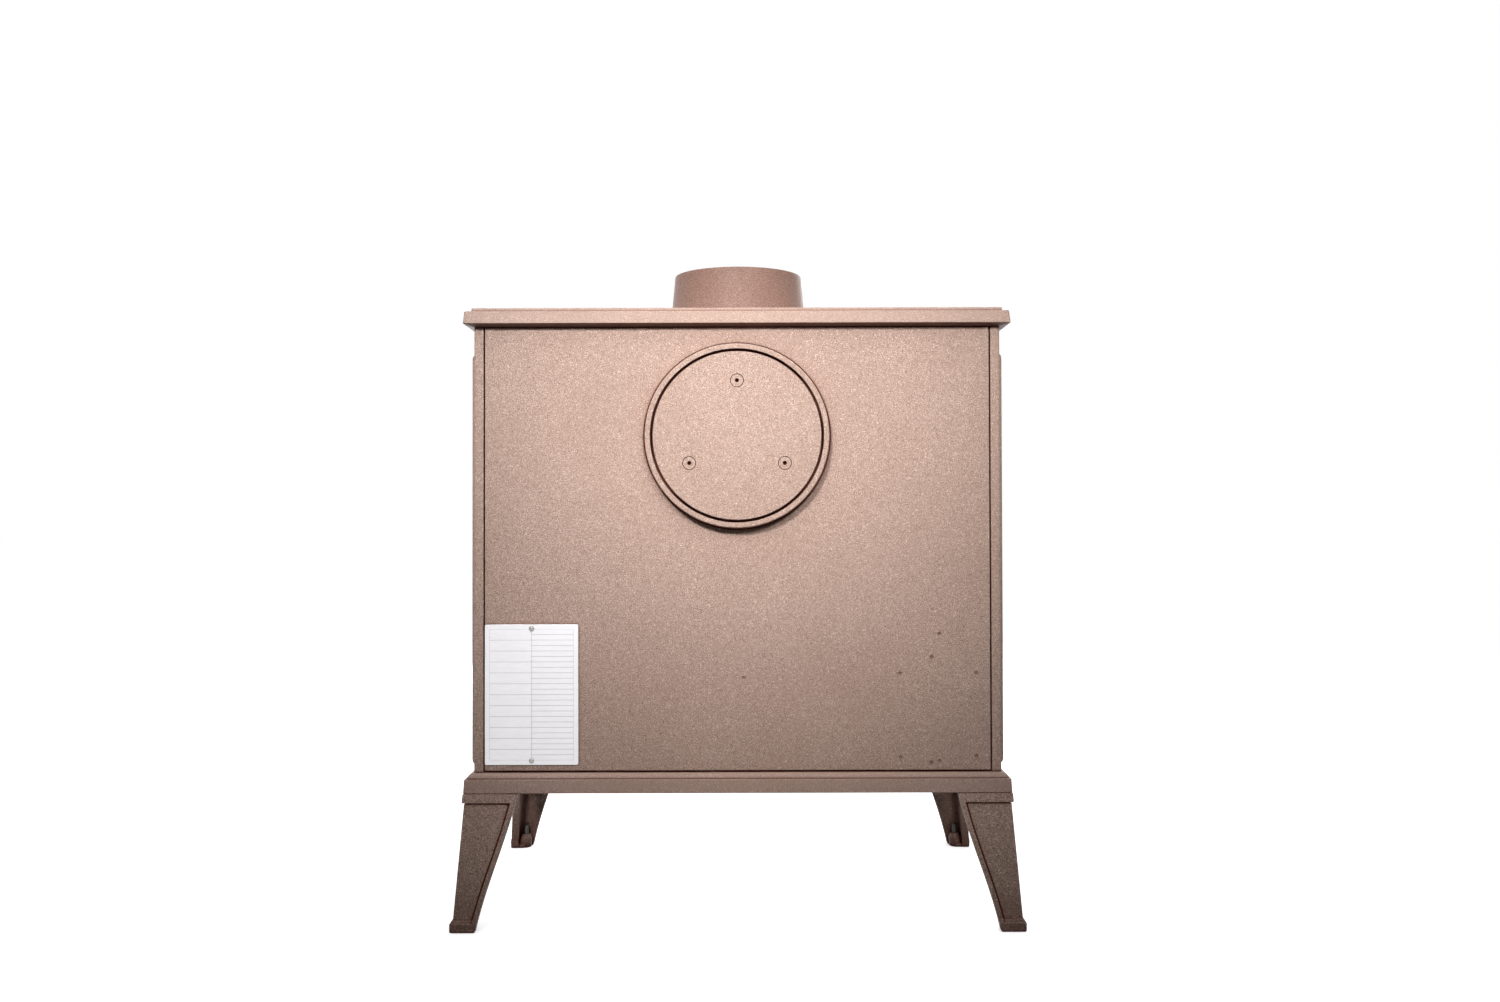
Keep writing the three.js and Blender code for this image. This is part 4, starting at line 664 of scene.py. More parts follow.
def glass_rope():
    """Braided glass fibre, off-white with darker gaps between its yarns."""
    shader = Shader("glass_rope")
    yarn = shader.noise(900, 3, 0.6, shader.stretched(y=0.5))
    dust = shader.noise(60, 3)
    colour = shader.between(yarn, 0.35, 0.65, (146, 142, 134), (206, 202, 192))
    colour = shader.tint(colour, dust, 0.45, 0.75, 0.4, (150, 142, 130))
    shader.set(Base_Color=colour, Roughness=shader.ramp(yarn, 0.3, 0.7, 0.95, 0.8))
    shader.bump((yarn, 0.18 * MM))
    return shader.material


def grip_wood():
    """Dark stained, oiled wood with its grain along the grip."""
    shader = Shader("grip_wood")
    lean = (0, math.radians(HANDLE_LEAN), 0)
    inputs = {"Vector": shader.position, "Rotation": lean, "Scale": (1, 1, 0.07)}
    along = shader.node("ShaderNodeMapping", inputs).outputs[0]
    grain = shader.noise(480, 4, 0.65, along)
    figure = shader.noise(120, 2, 0.5, along)
    colour = shader.between(grain, 0.3, 0.7, (44, 26, 17), (96, 60, 38))
    colour = shader.tint(colour, figure, 0.4, 0.7, 0.5, (66, 38, 24))
    shader.set(Base_Color=colour, Roughness=shader.ramp(grain, 0.3, 0.7, 0.5, 0.32), Coat_Weight=0.25)
    shader.bump((grain, 0.08 * MM))
    return shader.material


def ceramic_glass():
    """Clear ceramic glass with a faint brown tint and a trace of haze."""
    shader = Shader("ceramic_glass")
    haze = shader.noise(14, 4, 0.6)
    colour = shader.between(haze, 0.35, 0.7, (204, 195, 186), (190, 180, 170))
    shader.set(
        Base_Color=colour, Roughness=shader.ramp(haze, 0.4, 0.8, 0.0, 0.02),
        Transmission_Weight=0.96, IOR=1.53)
    shader.bump((shader.noise(9, 1), 0.02 * MM))
    return shader.material


# Outlets: a ring with a recess, a bore and three screw lugs
RING_RADIUS = 97.4 * MM
RING_DRAFT = 1 * MM
RING_GROOVE = 1 * MM
RECESS_RADIUS = 91.8 * MM
OUTLET_BORE = 72 * MM
DISC_RADIUS = high("blanking_plate").x
DISC_THICKNESS = 8 * MM
LUG_RADIUS = 9 * MM
LUG_THICKNESS = 10 * MM
LUG_STEPS = 14
SCREW_CIRCLE = 58.2 * MM
SCREW_ANGLES = [math.pi / 2 + turn * math.tau / 3 for turn in range(3)]
SCREW_HEAD = 6.6 * MM
SCREW_SHANK = 3 * MM
SCREW_LENGTH = 16 * MM
SCREW_RIM = 0.4 * MM
SCREW_GAP = 0.6 * MM
SOCKET_RADIUS = 2.3 * MM
SOCKET_DEPTH = 4.5 * MM
SOCKET_TAPER = 0.8


def recess_floor(crown):
    return crown - DISC_THICKNESS - SEAT


def outlet_contour(back, face, crown, at):
    """From the back of a plate through the bore and over the ring to the face round it."""
    floor = recess_floor(crown)
    foot = RING_RADIUS + RING_DRAFT
    return circles(soften([
        (OUTLET_BORE, back, 0),
        (OUTLET_BORE, floor, CAST_EDGE),
        (RECESS_RADIUS, floor, CAST_EDGE),
        (RECESS_RADIUS, crown, CAST_EDGE),
        (RING_RADIUS, crown, SOFT_EDGE),
        (foot, face - RING_GROOVE, FINE_EDGE),
        (foot + RING_GROOVE, face - RING_GROOVE, FINE_EDGE),
        (foot + RING_GROOVE, face, FINE_EDGE),
        (foot + 2 * RING_GROOVE, face, 0),
    ], steps=4), at, LARGE_SIDES)


def screw_places(at):
    return [polar(SCREW_CIRCLE, angle, at) for angle in SCREW_ANGLES]


def countersink(face, back, at):
    head, shank = SCREW_HEAD + SCREW_GAP, SCREW_SHANK + SLIP
    seat = face - SCREW_RIM - SLIP
    return circles([
        (shank, back),
        (shank, seat - (head - shank)),
        (head, seat),
        (head, face - FINE_EDGE / 2),
        (head + FINE_EDGE / 2, face)], at, MEDIUM_SIDES)


def add_lugs(form, foot, top, at, sunk=False):
    """Lugs that each reach from the bore's wall to a rounded tip round their screw."""
    reach = OUTLET_BORE + OVERLAP
    lug = [(reach, -LUG_RADIUS), (reach, LUG_RADIUS)]
    lug += [polar(LUG_RADIUS, (0.5 + share) * math.pi, (SCREW_CIRCLE, 0)) for share in shares(LUG_STEPS)]
    for angle, place in zip(SCREW_ANGLES, screw_places(at)):
        outline = [polar(across, angle + math.pi / 2, polar(along, angle, at)) for along, across in lug]
        hole = countersink(top, foot, place) if sunk else circles(
            [(SCREW_SHANK + SLIP, foot), (SCREW_SHANK + SLIP, top)], place)
        form.plate([drawn_in(outline, rim(CAST_EDGE, foot, top)), hole])


def socket_screws(name, face, place, at):
    """An outlet's three countersunk screws with hexagon sockets."""
    foot = face - SCREW_LENGTH
    for index, axis in enumerate(screw_places(at)):
        outer = circles(soften([
            (SCREW_SHANK - SMALL_EDGE, foot, 0),
            (SCREW_SHANK, foot + SMALL_EDGE, 0),
            (SCREW_SHANK, face - SCREW_RIM - (SCREW_HEAD - SCREW_SHANK), FINE_EDGE),
            (SCREW_HEAD, face - SCREW_RIM, FINE_EDGE / 2),
            (SCREW_HEAD, face, FINE_EDGE),
            (SCREW_HEAD - FLAT, face, 0),
        ]), axis, MEDIUM_SIDES)
        socket = circles([
            (SOCKET_RADIUS * SOCKET_TAPER, face - SOCKET_DEPTH),
            (SOCKET_RADIUS, face - SOCKET_DEPTH * SOCKET_TAPER),
            (SOCKET_RADIUS, face - FINE_EDGE),
            (SOCKET_RADIUS + FINE_EDGE, face)], axis, HEXAGON)
        form = Form(place)
        form.plate([outer], top=[socket])
        show(f"{name}_{index + 1}", form)


# Body
SIDE_CORNER = 3 * MM
REBATE_WIDTH = 12 * MM
REBATE_DEPTH = 9 * MM
FIELD_RAISE = 4.2 * MM
FIELD_SLOPE = 0.9
FIELD_SIDE_MARGIN = 9 * MM
FIELD_TOP_MARGIN = 26 * MM
FIELD_BOTTOM_MARGIN = 5 * MM
HEARTH_HALF = high("hearth_plate").x
HEARTH_TOP = high("hearth_plate").z
HEARTH_FOOT = low("hearth_plate").z
LEDGE_HEIGHT = 10 * MM
LEDGE_HALF_LENGTH = 80 * MM
RIB_WIDTH = 8 * MM
RIB_HALF_SPACING = 60 * MM
RIB_HEIGHT = 120 * MM
PIT_RADIUS = 2.1 * MM
PIT_DEPTH = 1.3 * MM
PIT_SHARES = ((0.25, 1.0), (0.7, 0.7), (1.0, 0.12), (1.35, 0.0))
PIT_SIDES = 20
# Small craters in the paint of the rear plate, across and up in millimetres
PITS = ((-214, 309), (-206, 284.5), (-172, 267), (-252.6, 267.5), (-172.4, 178.4),
        (-205, 172.8), (-214, 174.5), (-252.6, 179.5), (-6.7, 262.8))


def side_plate(name, sign):
    ledge_face = PANEL_INSIDE - SEAT
    ledge_back = ledge_face - REBATE_DEPTH
    ledge_half = PANEL_HALF - REBATE_WIDTH
    strip = HALF_WIDTH - SIDE_STRIP
    to_rear = [
        (HALF_WIDTH, HALF_DEPTH, SIDE_CORNER),
        (strip, HALF_DEPTH, CAST_EDGE),
        (strip, ledge_face, 0),
        (ledge_half, ledge_face, CAST_EDGE),
        (ledge_half, ledge_back, CAST_EDGE),
        (WALL_INSIDE, ledge_back, 0)]
    to_front = [(x, -y, radius) for x, y, radius in reversed(to_rear)]
    form = Form(upright(sign))
    form.slab(soften(to_rear + to_front, steps=5, closed=True), BODY_FOOT, BODY_TOP, FINE_EDGE)
    form.block(
        (HEARTH_HALF - LEDGE_HEIGHT, WALL_INSIDE + OVERLAP),
        about(0, LEDGE_HALF_LENGTH),
        (HEARTH_FOOT - SEAT - LEDGE_HEIGHT, HEARTH_FOOT - SEAT))
    for middle in about(0, RIB_HALF_SPACING):
        form.block(
            (HEARTH_HALF + SEAT, WALL_INSIDE + OVERLAP),
            about(middle, RIB_WIDTH / 2),
            (HEARTH_TOP, HEARTH_TOP + RIB_HEIGHT), FINE_EDGE)
    foot, top = BODY_FOOT + FIELD_BOTTOM_MARGIN, BODY_TOP - FIELD_TOP_MARGIN
    face = HALF_WIDTH + FIELD_RAISE
    field = soften([
        (0, HALF_WIDTH - OVERLAP, 0),
        (0, HALF_WIDTH, 0),
        (-FIELD_RAISE * FIELD_SLOPE, face, SOFT_EDGE),
        (-FIELD_RAISE * 2, face, 0),
    ], steps=4)
    form.place = side(sign)
    form.plate([rectangles(
        HALF_DEPTH - FIELD_SIDE_MARGIN, (top - foot) / 2, SIDE_CORNER, field, (0, (top + foot) / 2))])
    show(name, form)


def panel_outline():
    """The outline of the front plate and the rear plate."""
    half_height = (BODY_TOP - PANEL_FOOT) / 2
    return rounded(PANEL_HALF, half_height, SOFT_EDGE, (0, PANEL_FOOT + half_height), steps=3)


def rear_plate():
    at = (0, OUTLET_HEIGHT)
    crown = HALF_DEPTH + REAR_RING_RAISE
    outer = drawn_in(panel_outline(), rim(CAST_EDGE, PANEL_INSIDE, HALF_DEPTH))
    pit = [(PIT_RADIUS * wide, HALF_DEPTH - PIT_DEPTH * deep) for wide, deep in PIT_SHARES]
    form = Form(rear)
    form.plate(
        [outer, outlet_contour(PANEL_INSIDE, HALF_DEPTH, crown, at)],
        top=[circles(soften(pit, SMALL_EDGE), (x * MM, z * MM), PIT_SIDES) for x, z in PITS])
    add_lugs(form, recess_floor(crown) - LUG_THICKNESS, recess_floor(crown), at)
    show("rear_plate", form)


def blanking_plate():
    at = (0, OUTLET_HEIGHT)
    face = HALF_DEPTH + REAR_RING_RAISE
    back = face - DISC_THICKNESS
    edge = [(DISC_RADIUS - inset, height) for inset, height in rim(CAST_EDGE, back, face)]
    holes = [countersink(face, back, place) for place in screw_places(at)]
    form = Form(rear)
    form.plate([circles(edge, at, LARGE_SIDES)] + holes)
    show("blanking_plate", form)
    socket_screws("blanking_screw", face, rear, at)


TOP_COVE = 2.7 * MM
TOP_BAND = 13 * MM
TOP_OVERHANG = high("top_plate").x - HALF_WIDTH
TOP_BAND_LEAN = 1.4 * MM
TOP_FIELD_OVERHANG = 2.6 * MM
TOP_CEILING = 12 * MM
TOP_RIM = 18 * MM
PLATE_CORNER = 3 * MM


def top_plate():
    ceiling = TOP_FOOT + TOP_CEILING
    band_top = TOP_FOOT + TOP_COVE + TOP_BAND
    outer = soften([
        (-TOP_RIM, ceiling, 0),
        (-TOP_RIM, TOP_FOOT, CAST_EDGE),
        (0, TOP_FOOT, CAST_EDGE),
        (TOP_OVERHANG, TOP_FOOT + TOP_COVE, SMALL_EDGE),
        (TOP_OVERHANG - TOP_BAND_LEAN, band_top, 0.9 * MM),
        (TOP_FIELD_OVERHANG + FINE_EDGE, band_top, FINE_EDGE),
        (TOP_FIELD_OVERHANG, TOP_SURFACE, 0.9 * MM),
        (TOP_FIELD_OVERHANG - 4 * FLAT, TOP_SURFACE, 0),
    ], steps=4)
    form = Form(upright())
    form.plate([
        rectangles(HALF_WIDTH, HALF_DEPTH, PLATE_CORNER, outer),
        outlet_contour(ceiling, TOP_SURFACE, CROWN, (0, 0))])
    add_lugs(form, recess_floor(CROWN) - LUG_THICKNESS, recess_floor(CROWN), (0, 0))
    show("top_plate", form)


COLLAR_FOOT_RADIUS = 80 * MM
COLLAR_RIM_RADIUS = 74.8 * MM
COLLAR_WALL = 5 * MM
COLLAR_ROUND = 2.4 * MM


def flue_collar():
    foot = CROWN - DISC_THICKNESS
    form = Form(upright())
    form.turned(soften([
        (DISC_RADIUS, foot, FINE_EDGE),
        (DISC_RADIUS, CROWN, CAST_EDGE),
        (COLLAR_FOOT_RADIUS, CROWN, COLLAR_ROUND),
        (COLLAR_RIM_RADIUS, RIM_TOP, COLLAR_ROUND),
        (COLLAR_RIM_RADIUS - COLLAR_WALL, RIM_TOP, SOFT_EDGE),
        (OUTLET_BORE, CROWN, CAST_EDGE),
        (OUTLET_BORE, foot, FINE_EDGE),
    ], steps=5, closed=True), sides=LARGE_SIDES, closed=True)
    add_lugs(form, foot, CROWN, (0, 0), sunk=True)
    show("flue_collar", form)
    socket_screws("collar_screw", CROWN, upright(), (0, 0))


# Base plate with its ash lip
BASE_OVERHANG = 9 * MM
BASE_FLARE = 0.9 * MM
BEAD_HEIGHT = 6 * MM
BEAD_SETBACK = 2 * MM
BEAD_GROOVE = 0.7 * MM
BEAD_STEPS = 8
DECK = 8 * MM
BASE_RIM = 8 * MM
LEG_PAD = 52 * MM
LIP_HALF_WIDTH = 190 * MM
LIP_THICKNESS = 8 * MM
LIP_CORNER = 16 * MM
LIP_BORDER = 6 * MM
LIP_DISH = 2.5 * MM
LIP_DISH_SLOPE = 1.5 * MM
RUNNER = (114 * MM, 122 * MM)


def base_plate():
    band_top = DECK_TOP - BEAD_HEIGHT
    hollow = BASE_OVERHANG - BASE_RIM
    bead_reach = BASE_OVERHANG - BEAD_SETBACK
    line = soften([
        (hollow, DECK_TOP - DECK, 0),
        (hollow, LEG_TOP, CAST_EDGE),
        (BASE_OVERHANG + BASE_FLARE, LEG_TOP, CAST_EDGE),
        (BASE_OVERHANG, band_top, 1.3 * MM),
        (bead_reach, band_top, FINE_EDGE),
        (bead_reach, band_top - BEAD_GROOVE, 0),
    ], steps=4)
    for share in shares(BEAD_STEPS):
        along, rise = polar(1, share * math.pi / 2)
        line.append((
            SEAT + (bead_reach - BEAD_GROOVE - SEAT) * along,
            band_top - BEAD_GROOVE + (BEAD_HEIGHT + BEAD_GROOVE) * rise))
    form = Form(upright())
    form.plate([rectangles(HALF_WIDTH, HALF_DEPTH, PLATE_CORNER, line)])
    rim_x, rim_y = HALF_WIDTH + hollow, HALF_DEPTH + hollow
    for sign_x, sign_y in CORNERS.values():
        form.block(
            (sign_x * (rim_x + OVERLAP), sign_x * (rim_x - LEG_PAD)),
            (sign_y * (rim_y + OVERLAP), sign_y * (rim_y - LEG_PAD)),
            (LEG_TOP, DECK_TOP - DECK + OVERLAP))
    for sign in (-1, 1):
        form.block(
            (sign * RUNNER[0], sign * RUNNER[1]),
            (-(PANEL_INSIDE - SLIP), high("ash_drawer").y - MID),
            (DECK_TOP - OVERLAP, low("ash_drawer").z - SEAT), FINE_EDGE)
    add_ash_lip(form, band_top)
    show("base_plate", form)


def add_ash_lip(form, top):
    """A dished lip that stands out in front of the base plate."""
    lip_front = low("base_plate").y - MID
    back = -(HALF_DEPTH + BASE_OVERHANG + BASE_FLARE - BASE_RIM / 2)
    outline = soften([
        (LIP_HALF_WIDTH, back, 0),
        (LIP_HALF_WIDTH, lip_front, LIP_CORNER),
        (-LIP_HALF_WIDTH, lip_front, LIP_CORNER),
        (-LIP_HALF_WIDTH, back, 0),
    ], steps=8, closed=True)
    dish = soften([
        (LIP_BORDER + 4 * FLAT, top - LIP_DISH),
        (LIP_BORDER + LIP_DISH_SLOPE, top - LIP_DISH),
        (LIP_BORDER, top),
        (LIP_BORDER - FLAT, top)], 0.9 * MM)
    form.plate([drawn_in(outline, rim(1 * MM, top - LIP_THICKNESS, top))], top=[drawn_in(outline, dish)])


# Legs, drawn for the corner at +X and +Y and mirrored to the others
LEG_OVERHANG = 10.2 * MM
LEG_SPLAY = 0.08
LEG_TOP_WIDTH = 57.6 * MM
LEG_ANKLE_WIDTH = 26.5 * MM
LEG_CURVE = 0.4
LEG_WALL = 9.4 * MM
LEG_BAND = 10 * MM
LEG_PANEL_DEPTH = 2.2 * MM
LEG_PANEL_STEPS = 14
LEG_RIDGE = 5 * MM
LEG_GROOVE = 1 * MM
LEG_RIDGE_SLOPE = 0.25 * MM
LEG_FLANGE = 7 * MM
TOE_HEIGHT = 9.5 * MM
TOE_COVE = 4.2 * MM
# Shares of the cove's height and of the way from the toe's face back to the sunk panel
TOE_STEPS = ((0, 0), (0.1, 0.08), (0.2, 0.4), (0.62, 0.55), (0.72, 0.6), (0.84, 0.94), (1, 1))
# Millimetres below the band and share of the panel's depth, for the groove that parts the two
BAND_GROOVE = ((2.2, 1.0), (1.7, 1.0), (1.3, 1.4), (0.4, 1.4), (0.1, 0.4), (-0.4, 0.0))
SOLE = 5 * MM
SOLE_REACH = 25 * MM
SOLE_NOTCH = 17 * MM
BOSS_RADIUS = 8.6 * MM
BOSS_LEAN = 2.8 * MM
BOSS_HEIGHT = 18 * MM
BOSS_SHOULDER = 0.6
BOSS_TOP = 0.62
BOSS_INSET = 19 * MM
LEVEL_SCREW_RADIUS = 3.4 * MM
LEVEL_THREAD = 1 * MM
LEVEL_THREAD_DEPTH = 0.34 * MM
LEVEL_THREAD_ROWS = 5
LEVEL_SIDES = 24
LEVEL_POINT = 0.7 * MM
LEVEL_SLOT = 1.2 * MM
LEG_BOLT_INSET = 32 * MM
# Radius and height of each kind of bolt's head, and radius of its shank
BOLT_SIZES = {"leg": (7.5 * MM, 5.5 * MM, 4 * MM), "tie": (7.2 * MM, 6.5 * MM, 4 * MM)}
TIE_PLACE = (centre("tie_bolt_rear_right").x, centre("tie_bolt_rear_right").y - MID)


def smooth(share):
    share = min(max(share, 0.0), 1.0)
    return share * share * (3 - 2 * share)


def leg_section(inset, height, panel, toe):
    """Outline of a leg's angle section at a height, with its panel sunk and its toe squared."""
    drop = (LEG_TOP - height) / LEG_TOP
    curve = LEG_CURVE * smooth(drop) + (1 - LEG_CURVE) * drop
    width = LEG_TOP_WIDTH + (LEG_ANKLE_WIDTH - LEG_TOP_WIDTH) * curve - inset
    out = toe * LEG_SPLAY * height - inset
    ridge = width - LEG_RIDGE
    slope = ridge - LEG_RIDGE_SLOPE
    sunk = panel * LEG_PANEL_DEPTH - out
    deep = sunk + panel * LEG_GROOVE
    flank = [
        (width, -out, 0.9 * MM),
        (ridge, -out, SMALL_EDGE),
        (slope, deep, FINE_EDGE),
        (slope - LEG_GROOVE, deep, FINE_EDGE),
        (slope - 1.6 * LEG_GROOVE, sunk, FINE_EDGE)]
    points = flank + [(sunk, sunk, 1.6 * MM)] + [(v, u, radius) for u, v, radius in reversed(flank)]
    points += [(LEG_WALL, width, 0.8 * MM), (LEG_WALL, LEG_WALL, 2 * MM), (width, LEG_WALL, 0.8 * MM)]
    reach = LEG_OVERHANG + LEG_SPLAY * (LEG_TOP - height)
    outline = [(HALF_WIDTH + reach - u, HALF_DEPTH + reach - v) for u, v in soften(points, closed=True)]
    return outline, height


def leg_layers():
    """Sections from the sole to the top, each with its inset, height, panel share and toe share."""
    band_foot = LEG_TOP - LEG_BAND
    panel_foot, panel_top = TOE_HEIGHT + TOE_COVE, band_foot - BAND_GROOVE[0][0] * MM
    layers = [(inset, height, 0, 1) for inset, height in rim(2 * MM, 0, TOE_HEIGHT)[:4]]
    layers += [(0, TOE_HEIGHT + TOE_COVE * rise, share, 1 - share) for rise, share in TOE_STEPS]
    for share in shares(LEG_PANEL_STEPS)[1:-1]:
        layers.append((0, panel_foot + (panel_top - panel_foot) * share, 1, 0))
    layers += [(0, band_foot - drop * MM, share, 0) for drop, share in BAND_GROOVE]
    layers += [(inset, height, 0, 0) for inset, height in rim(SOFT_EDGE, 0, LEG_TOP - SEAT)[4:]]
    return [leg_section(*layer) for layer in layers]


def leg(corner, sign_x, sign_y):
    form = Form(upright(sign_x, sign_y))
    form.plate([leg_layers()])
    at = (TOE_X - BOSS_INSET, TOE_Y - BOSS_INSET)
    bore = LEVEL_SCREW_RADIUS + SLIP
    inner, outer = -SOLE_REACH, OVERLAP - LEG_WALL
    sole = soften([(TOE_X + u, TOE_Y + v) for u, v in (
        (outer, outer), (inner, outer), (inner, -SOLE_NOTCH), (-SOLE_NOTCH, inner), (outer, inner),
    )], 1 * MM, closed=True)
    form.slab(sole, 0, SOLE, 0.6 * MM, [circle(bore, SMALL_SIDES, at)])
    boss = []
    for radius, height in soften([
        (BOSS_RADIUS, SOLE - OVERLAP, 0),
        (BOSS_RADIUS, BOSS_HEIGHT * BOSS_SHOULDER, 4 * MM),
        (BOSS_RADIUS * BOSS_TOP, BOSS_HEIGHT, 1.5 * MM),
        (bore + FINE_EDGE, BOSS_HEIGHT, 0),
    ], steps=5):
        lean = BOSS_LEAN * (1 - smooth(height / BOSS_HEIGHT))
        boss.append((circle(radius, MEDIUM_SIDES, (at[0] + lean, at[1] + lean)), height))
    form.plate([boss, circles([(bore, SOLE - OVERLAP), (bore, BOSS_HEIGHT)], at, MEDIUM_SIDES)])
    top_x, top_y = HALF_WIDTH + LEG_OVERHANG, HALF_DEPTH + LEG_OVERHANG
    half_flange = (LEG_TOP_WIDTH - 2 * LEG_WALL + OVERLAP) / 2
    middle = LEG_TOP_WIDTH - LEG_WALL - half_flange
    bolt = (top_x - LEG_BOLT_INSET, top_y - LEG_BOLT_INSET)
    form.slab(
        rounded(half_flange, half_flange, 2 * MM, (top_x - middle, top_y - middle)),
        LEG_TOP - SEAT - LEG_FLANGE, LEG_TOP - SEAT, CAST_EDGE,
        [circle(BOLT_SIZES["leg"][2] + SLIP, SMALL_SIDES, bolt)])
    show(f"leg_{corner}", form)
    levelling_screw(f"levelling_screw_{corner}", form.place, at)
    hex_bolt(f"leg_bolt_{corner}", form.place, bolt, *BOLT_SIZES["leg"])
    hex_bolt(f"tie_bolt_{corner}", form.place, TIE_PLACE, *BOLT_SIZES["tie"])


def levelling_screw(name, place, at):
    """A threaded rod with a slot in its upper end."""
    foot, top = heights(name)
    rows = round((top - foot) / LEVEL_THREAD * LEVEL_THREAD_ROWS)
    layers = []
    for share in shares(rows):
        height = foot + (top - foot) * share
        end = min(height - foot, top - height)
        crest = LEVEL_SCREW_RADIUS - LEVEL_POINT * (1 - smooth(end / (1.2 * MM)))
        outline = []
        for turn in shares(LEVEL_SIDES)[:-1]:
            phase = (height / LEVEL_THREAD - turn) % 1
            radius = crest - LEVEL_THREAD_DEPTH * (1 - abs(2 * phase - 1))
            outline.append(polar(radius, turn * math.tau, at))
        layers.append((outline, height))
    form = Form(place)
    form.plate([layers])
    slot = Form(place)
    slot.block(about(at[0], LEVEL_SLOT / 2), about(at[1], 8 * MM), about(top, 2 * MM), 0.1 * MM)
    show(name, form, [slot], angle=60)


def hex_bolt(name, place, at, head_radius, head_height, shank):
    """A bolt whose hexagon head is at its foot."""
    foot, end = heights(name)
    head_top = foot + head_height
    form = Form(place)
    form.slab(soften(circle(head_radius, HEXAGON, at), SMALL_EDGE, closed=True), foot, head_top, CAST_EDGE)
    root, chamfer = head_top - OVERLAP, 1 * MM
    form.turned(soften([
        (0, root), (shank, root), (shank, end - chamfer), (shank - chamfer, end), (0, end),
    ], 0.2 * MM), at, SMALL_SIDES)
    show(name, form)


# Data plate, and the small screws that it shares with the glass retainer
PLATE_SCREW = (1.4 * MM, 1.7 * MM)
GLASS_SCREW = (2 * MM, 2.2 * MM)
# The outline of a screw's head and its cross recess, in shares of the head's radius and height
PAN_SHARES = ((1.0, 0.0), (1.0, 0.3), (0.72, 0.85), (0.0, 1.0))
PAN_ROUND = 0.4
CROSS_REACH = 0.55
CROSS_WIDTH = 0.13
CROSS_DEPTH = 0.6


def data_plate():
    middle, reach = centre("data_plate"), half("data_plate")
    outline = rounded(reach.x, reach.z, 1.6 * MM, (middle.x, middle.z))
    show_slab("data_plate", rear, outline, [-depth for depth in reversed(depths("data_plate"))], 0.2 * MM)
    for index in (1, 2):
        pan_screw(f"data_plate_screw_{index}", *PLATE_SCREW)


def pan_screw(name, shank, head_height):
    """A small round-headed screw with a cross recess. Its head is towards the rear."""
    at = (centre(name).x, centre(name).z)
    radius = half(name).x
    tip, crown = low(name).y - MID, high(name).y - MID
    seat = crown - head_height
    form = Form(rear)
    form.turned([(0, tip), (shank * 0.6, tip), (shank, tip + shank), (shank, seat)] + soften(
        [(radius * wide, seat + head_height * far) for wide, far in PAN_SHARES],
        radius * PAN_ROUND, steps=4), at)
    cross = []
    for reach_u, reach_v in ((CROSS_REACH, CROSS_WIDTH), (CROSS_WIDTH, CROSS_REACH)):
        arm = Form(rear)
        arm.block(
            about(at[0], radius * reach_u), about(at[1], radius * reach_v),
            (crown - head_height * CROSS_DEPTH, crown + head_height), 0.05 * MM)
        cross.append(arm)
    show(name, form, cross)


# Front plate with its air rows, hinge lugs and latch catch
DOOR_SIDE_LAP = 47 * MM
DOOR_END_LAP = 30 * MM
DOORWAY_HALF_WIDTH = DOOR_HALF_WIDTH - DOOR_SIDE_LAP
DOORWAY_HALF_HEIGHT = DOOR_HALF_HEIGHT - DOOR_END_LAP
DOOR_CORNER = 8 * MM
ASH_HALF_WIDTH = 160 * MM
DRAWER_LAP = 5 * MM
ASH_HALF_HEIGHT = half("ash_drawer_front").z - DRAWER_LAP
SLOT_COUNT = 4
SLOT_HALF_WIDTH = 14 * MM
SLOT_HALF_HEIGHT = 3 * MM
SLOT_PITCH = 60 * MM
AIR_TRAVEL = 30 * MM
SLIDE_HALF_LENGTH = SLOT_COUNT * SLOT_PITCH / 2
SLIDE_HALF_HEIGHT = 7 * MM
SLIDE_THICKNESS = 3 * MM
RAIL_HEIGHT = 4 * MM
RAIL_LIP = 2 * MM
RAIL_STOP = 6 * MM
RAIL_FACE = HALF_DEPTH + SLIDE_THICKNESS + 2 * SLIP + RAIL_LIP
AIR_ROWS = [centre("primary_air_slide").z, centre("secondary_air_slide").z]
CATCH_GAP = 4 * MM
CATCH_LENGTH = 20 * MM
CATCH_POST = 7 * MM
CATCH_THICKNESS = 4.5 * MM
CATCH_HEIGHTS = (DOOR_MIDDLE - 12 * MM, DOOR_MIDDLE + 7 * MM)
HINGE_X = centre("hinge_pin_lower").x
HINGE_W = MID - centre("hinge_pin_lower").y
HINGE_HEIGHTS = about(DOOR_MIDDLE, 110 * MM)
HINGE_LUG_HEIGHT = 12 * MM
KNUCKLE_RADIUS = 8 * MM
KNUCKLE_HEIGHT = 23 * MM
PIN_RADIUS = 4 * MM
PIN_HEAD = 2.5 * MM
PIN_SLIP = 0.3 * MM


def air_slots(offset, height):
    return [rounded(SLOT_HALF_WIDTH, SLOT_HALF_HEIGHT, SOFT_EDGE, (
        offset + (index - (SLOT_COUNT - 1) / 2) * SLOT_PITCH, height)) for index in range(SLOT_COUNT)]


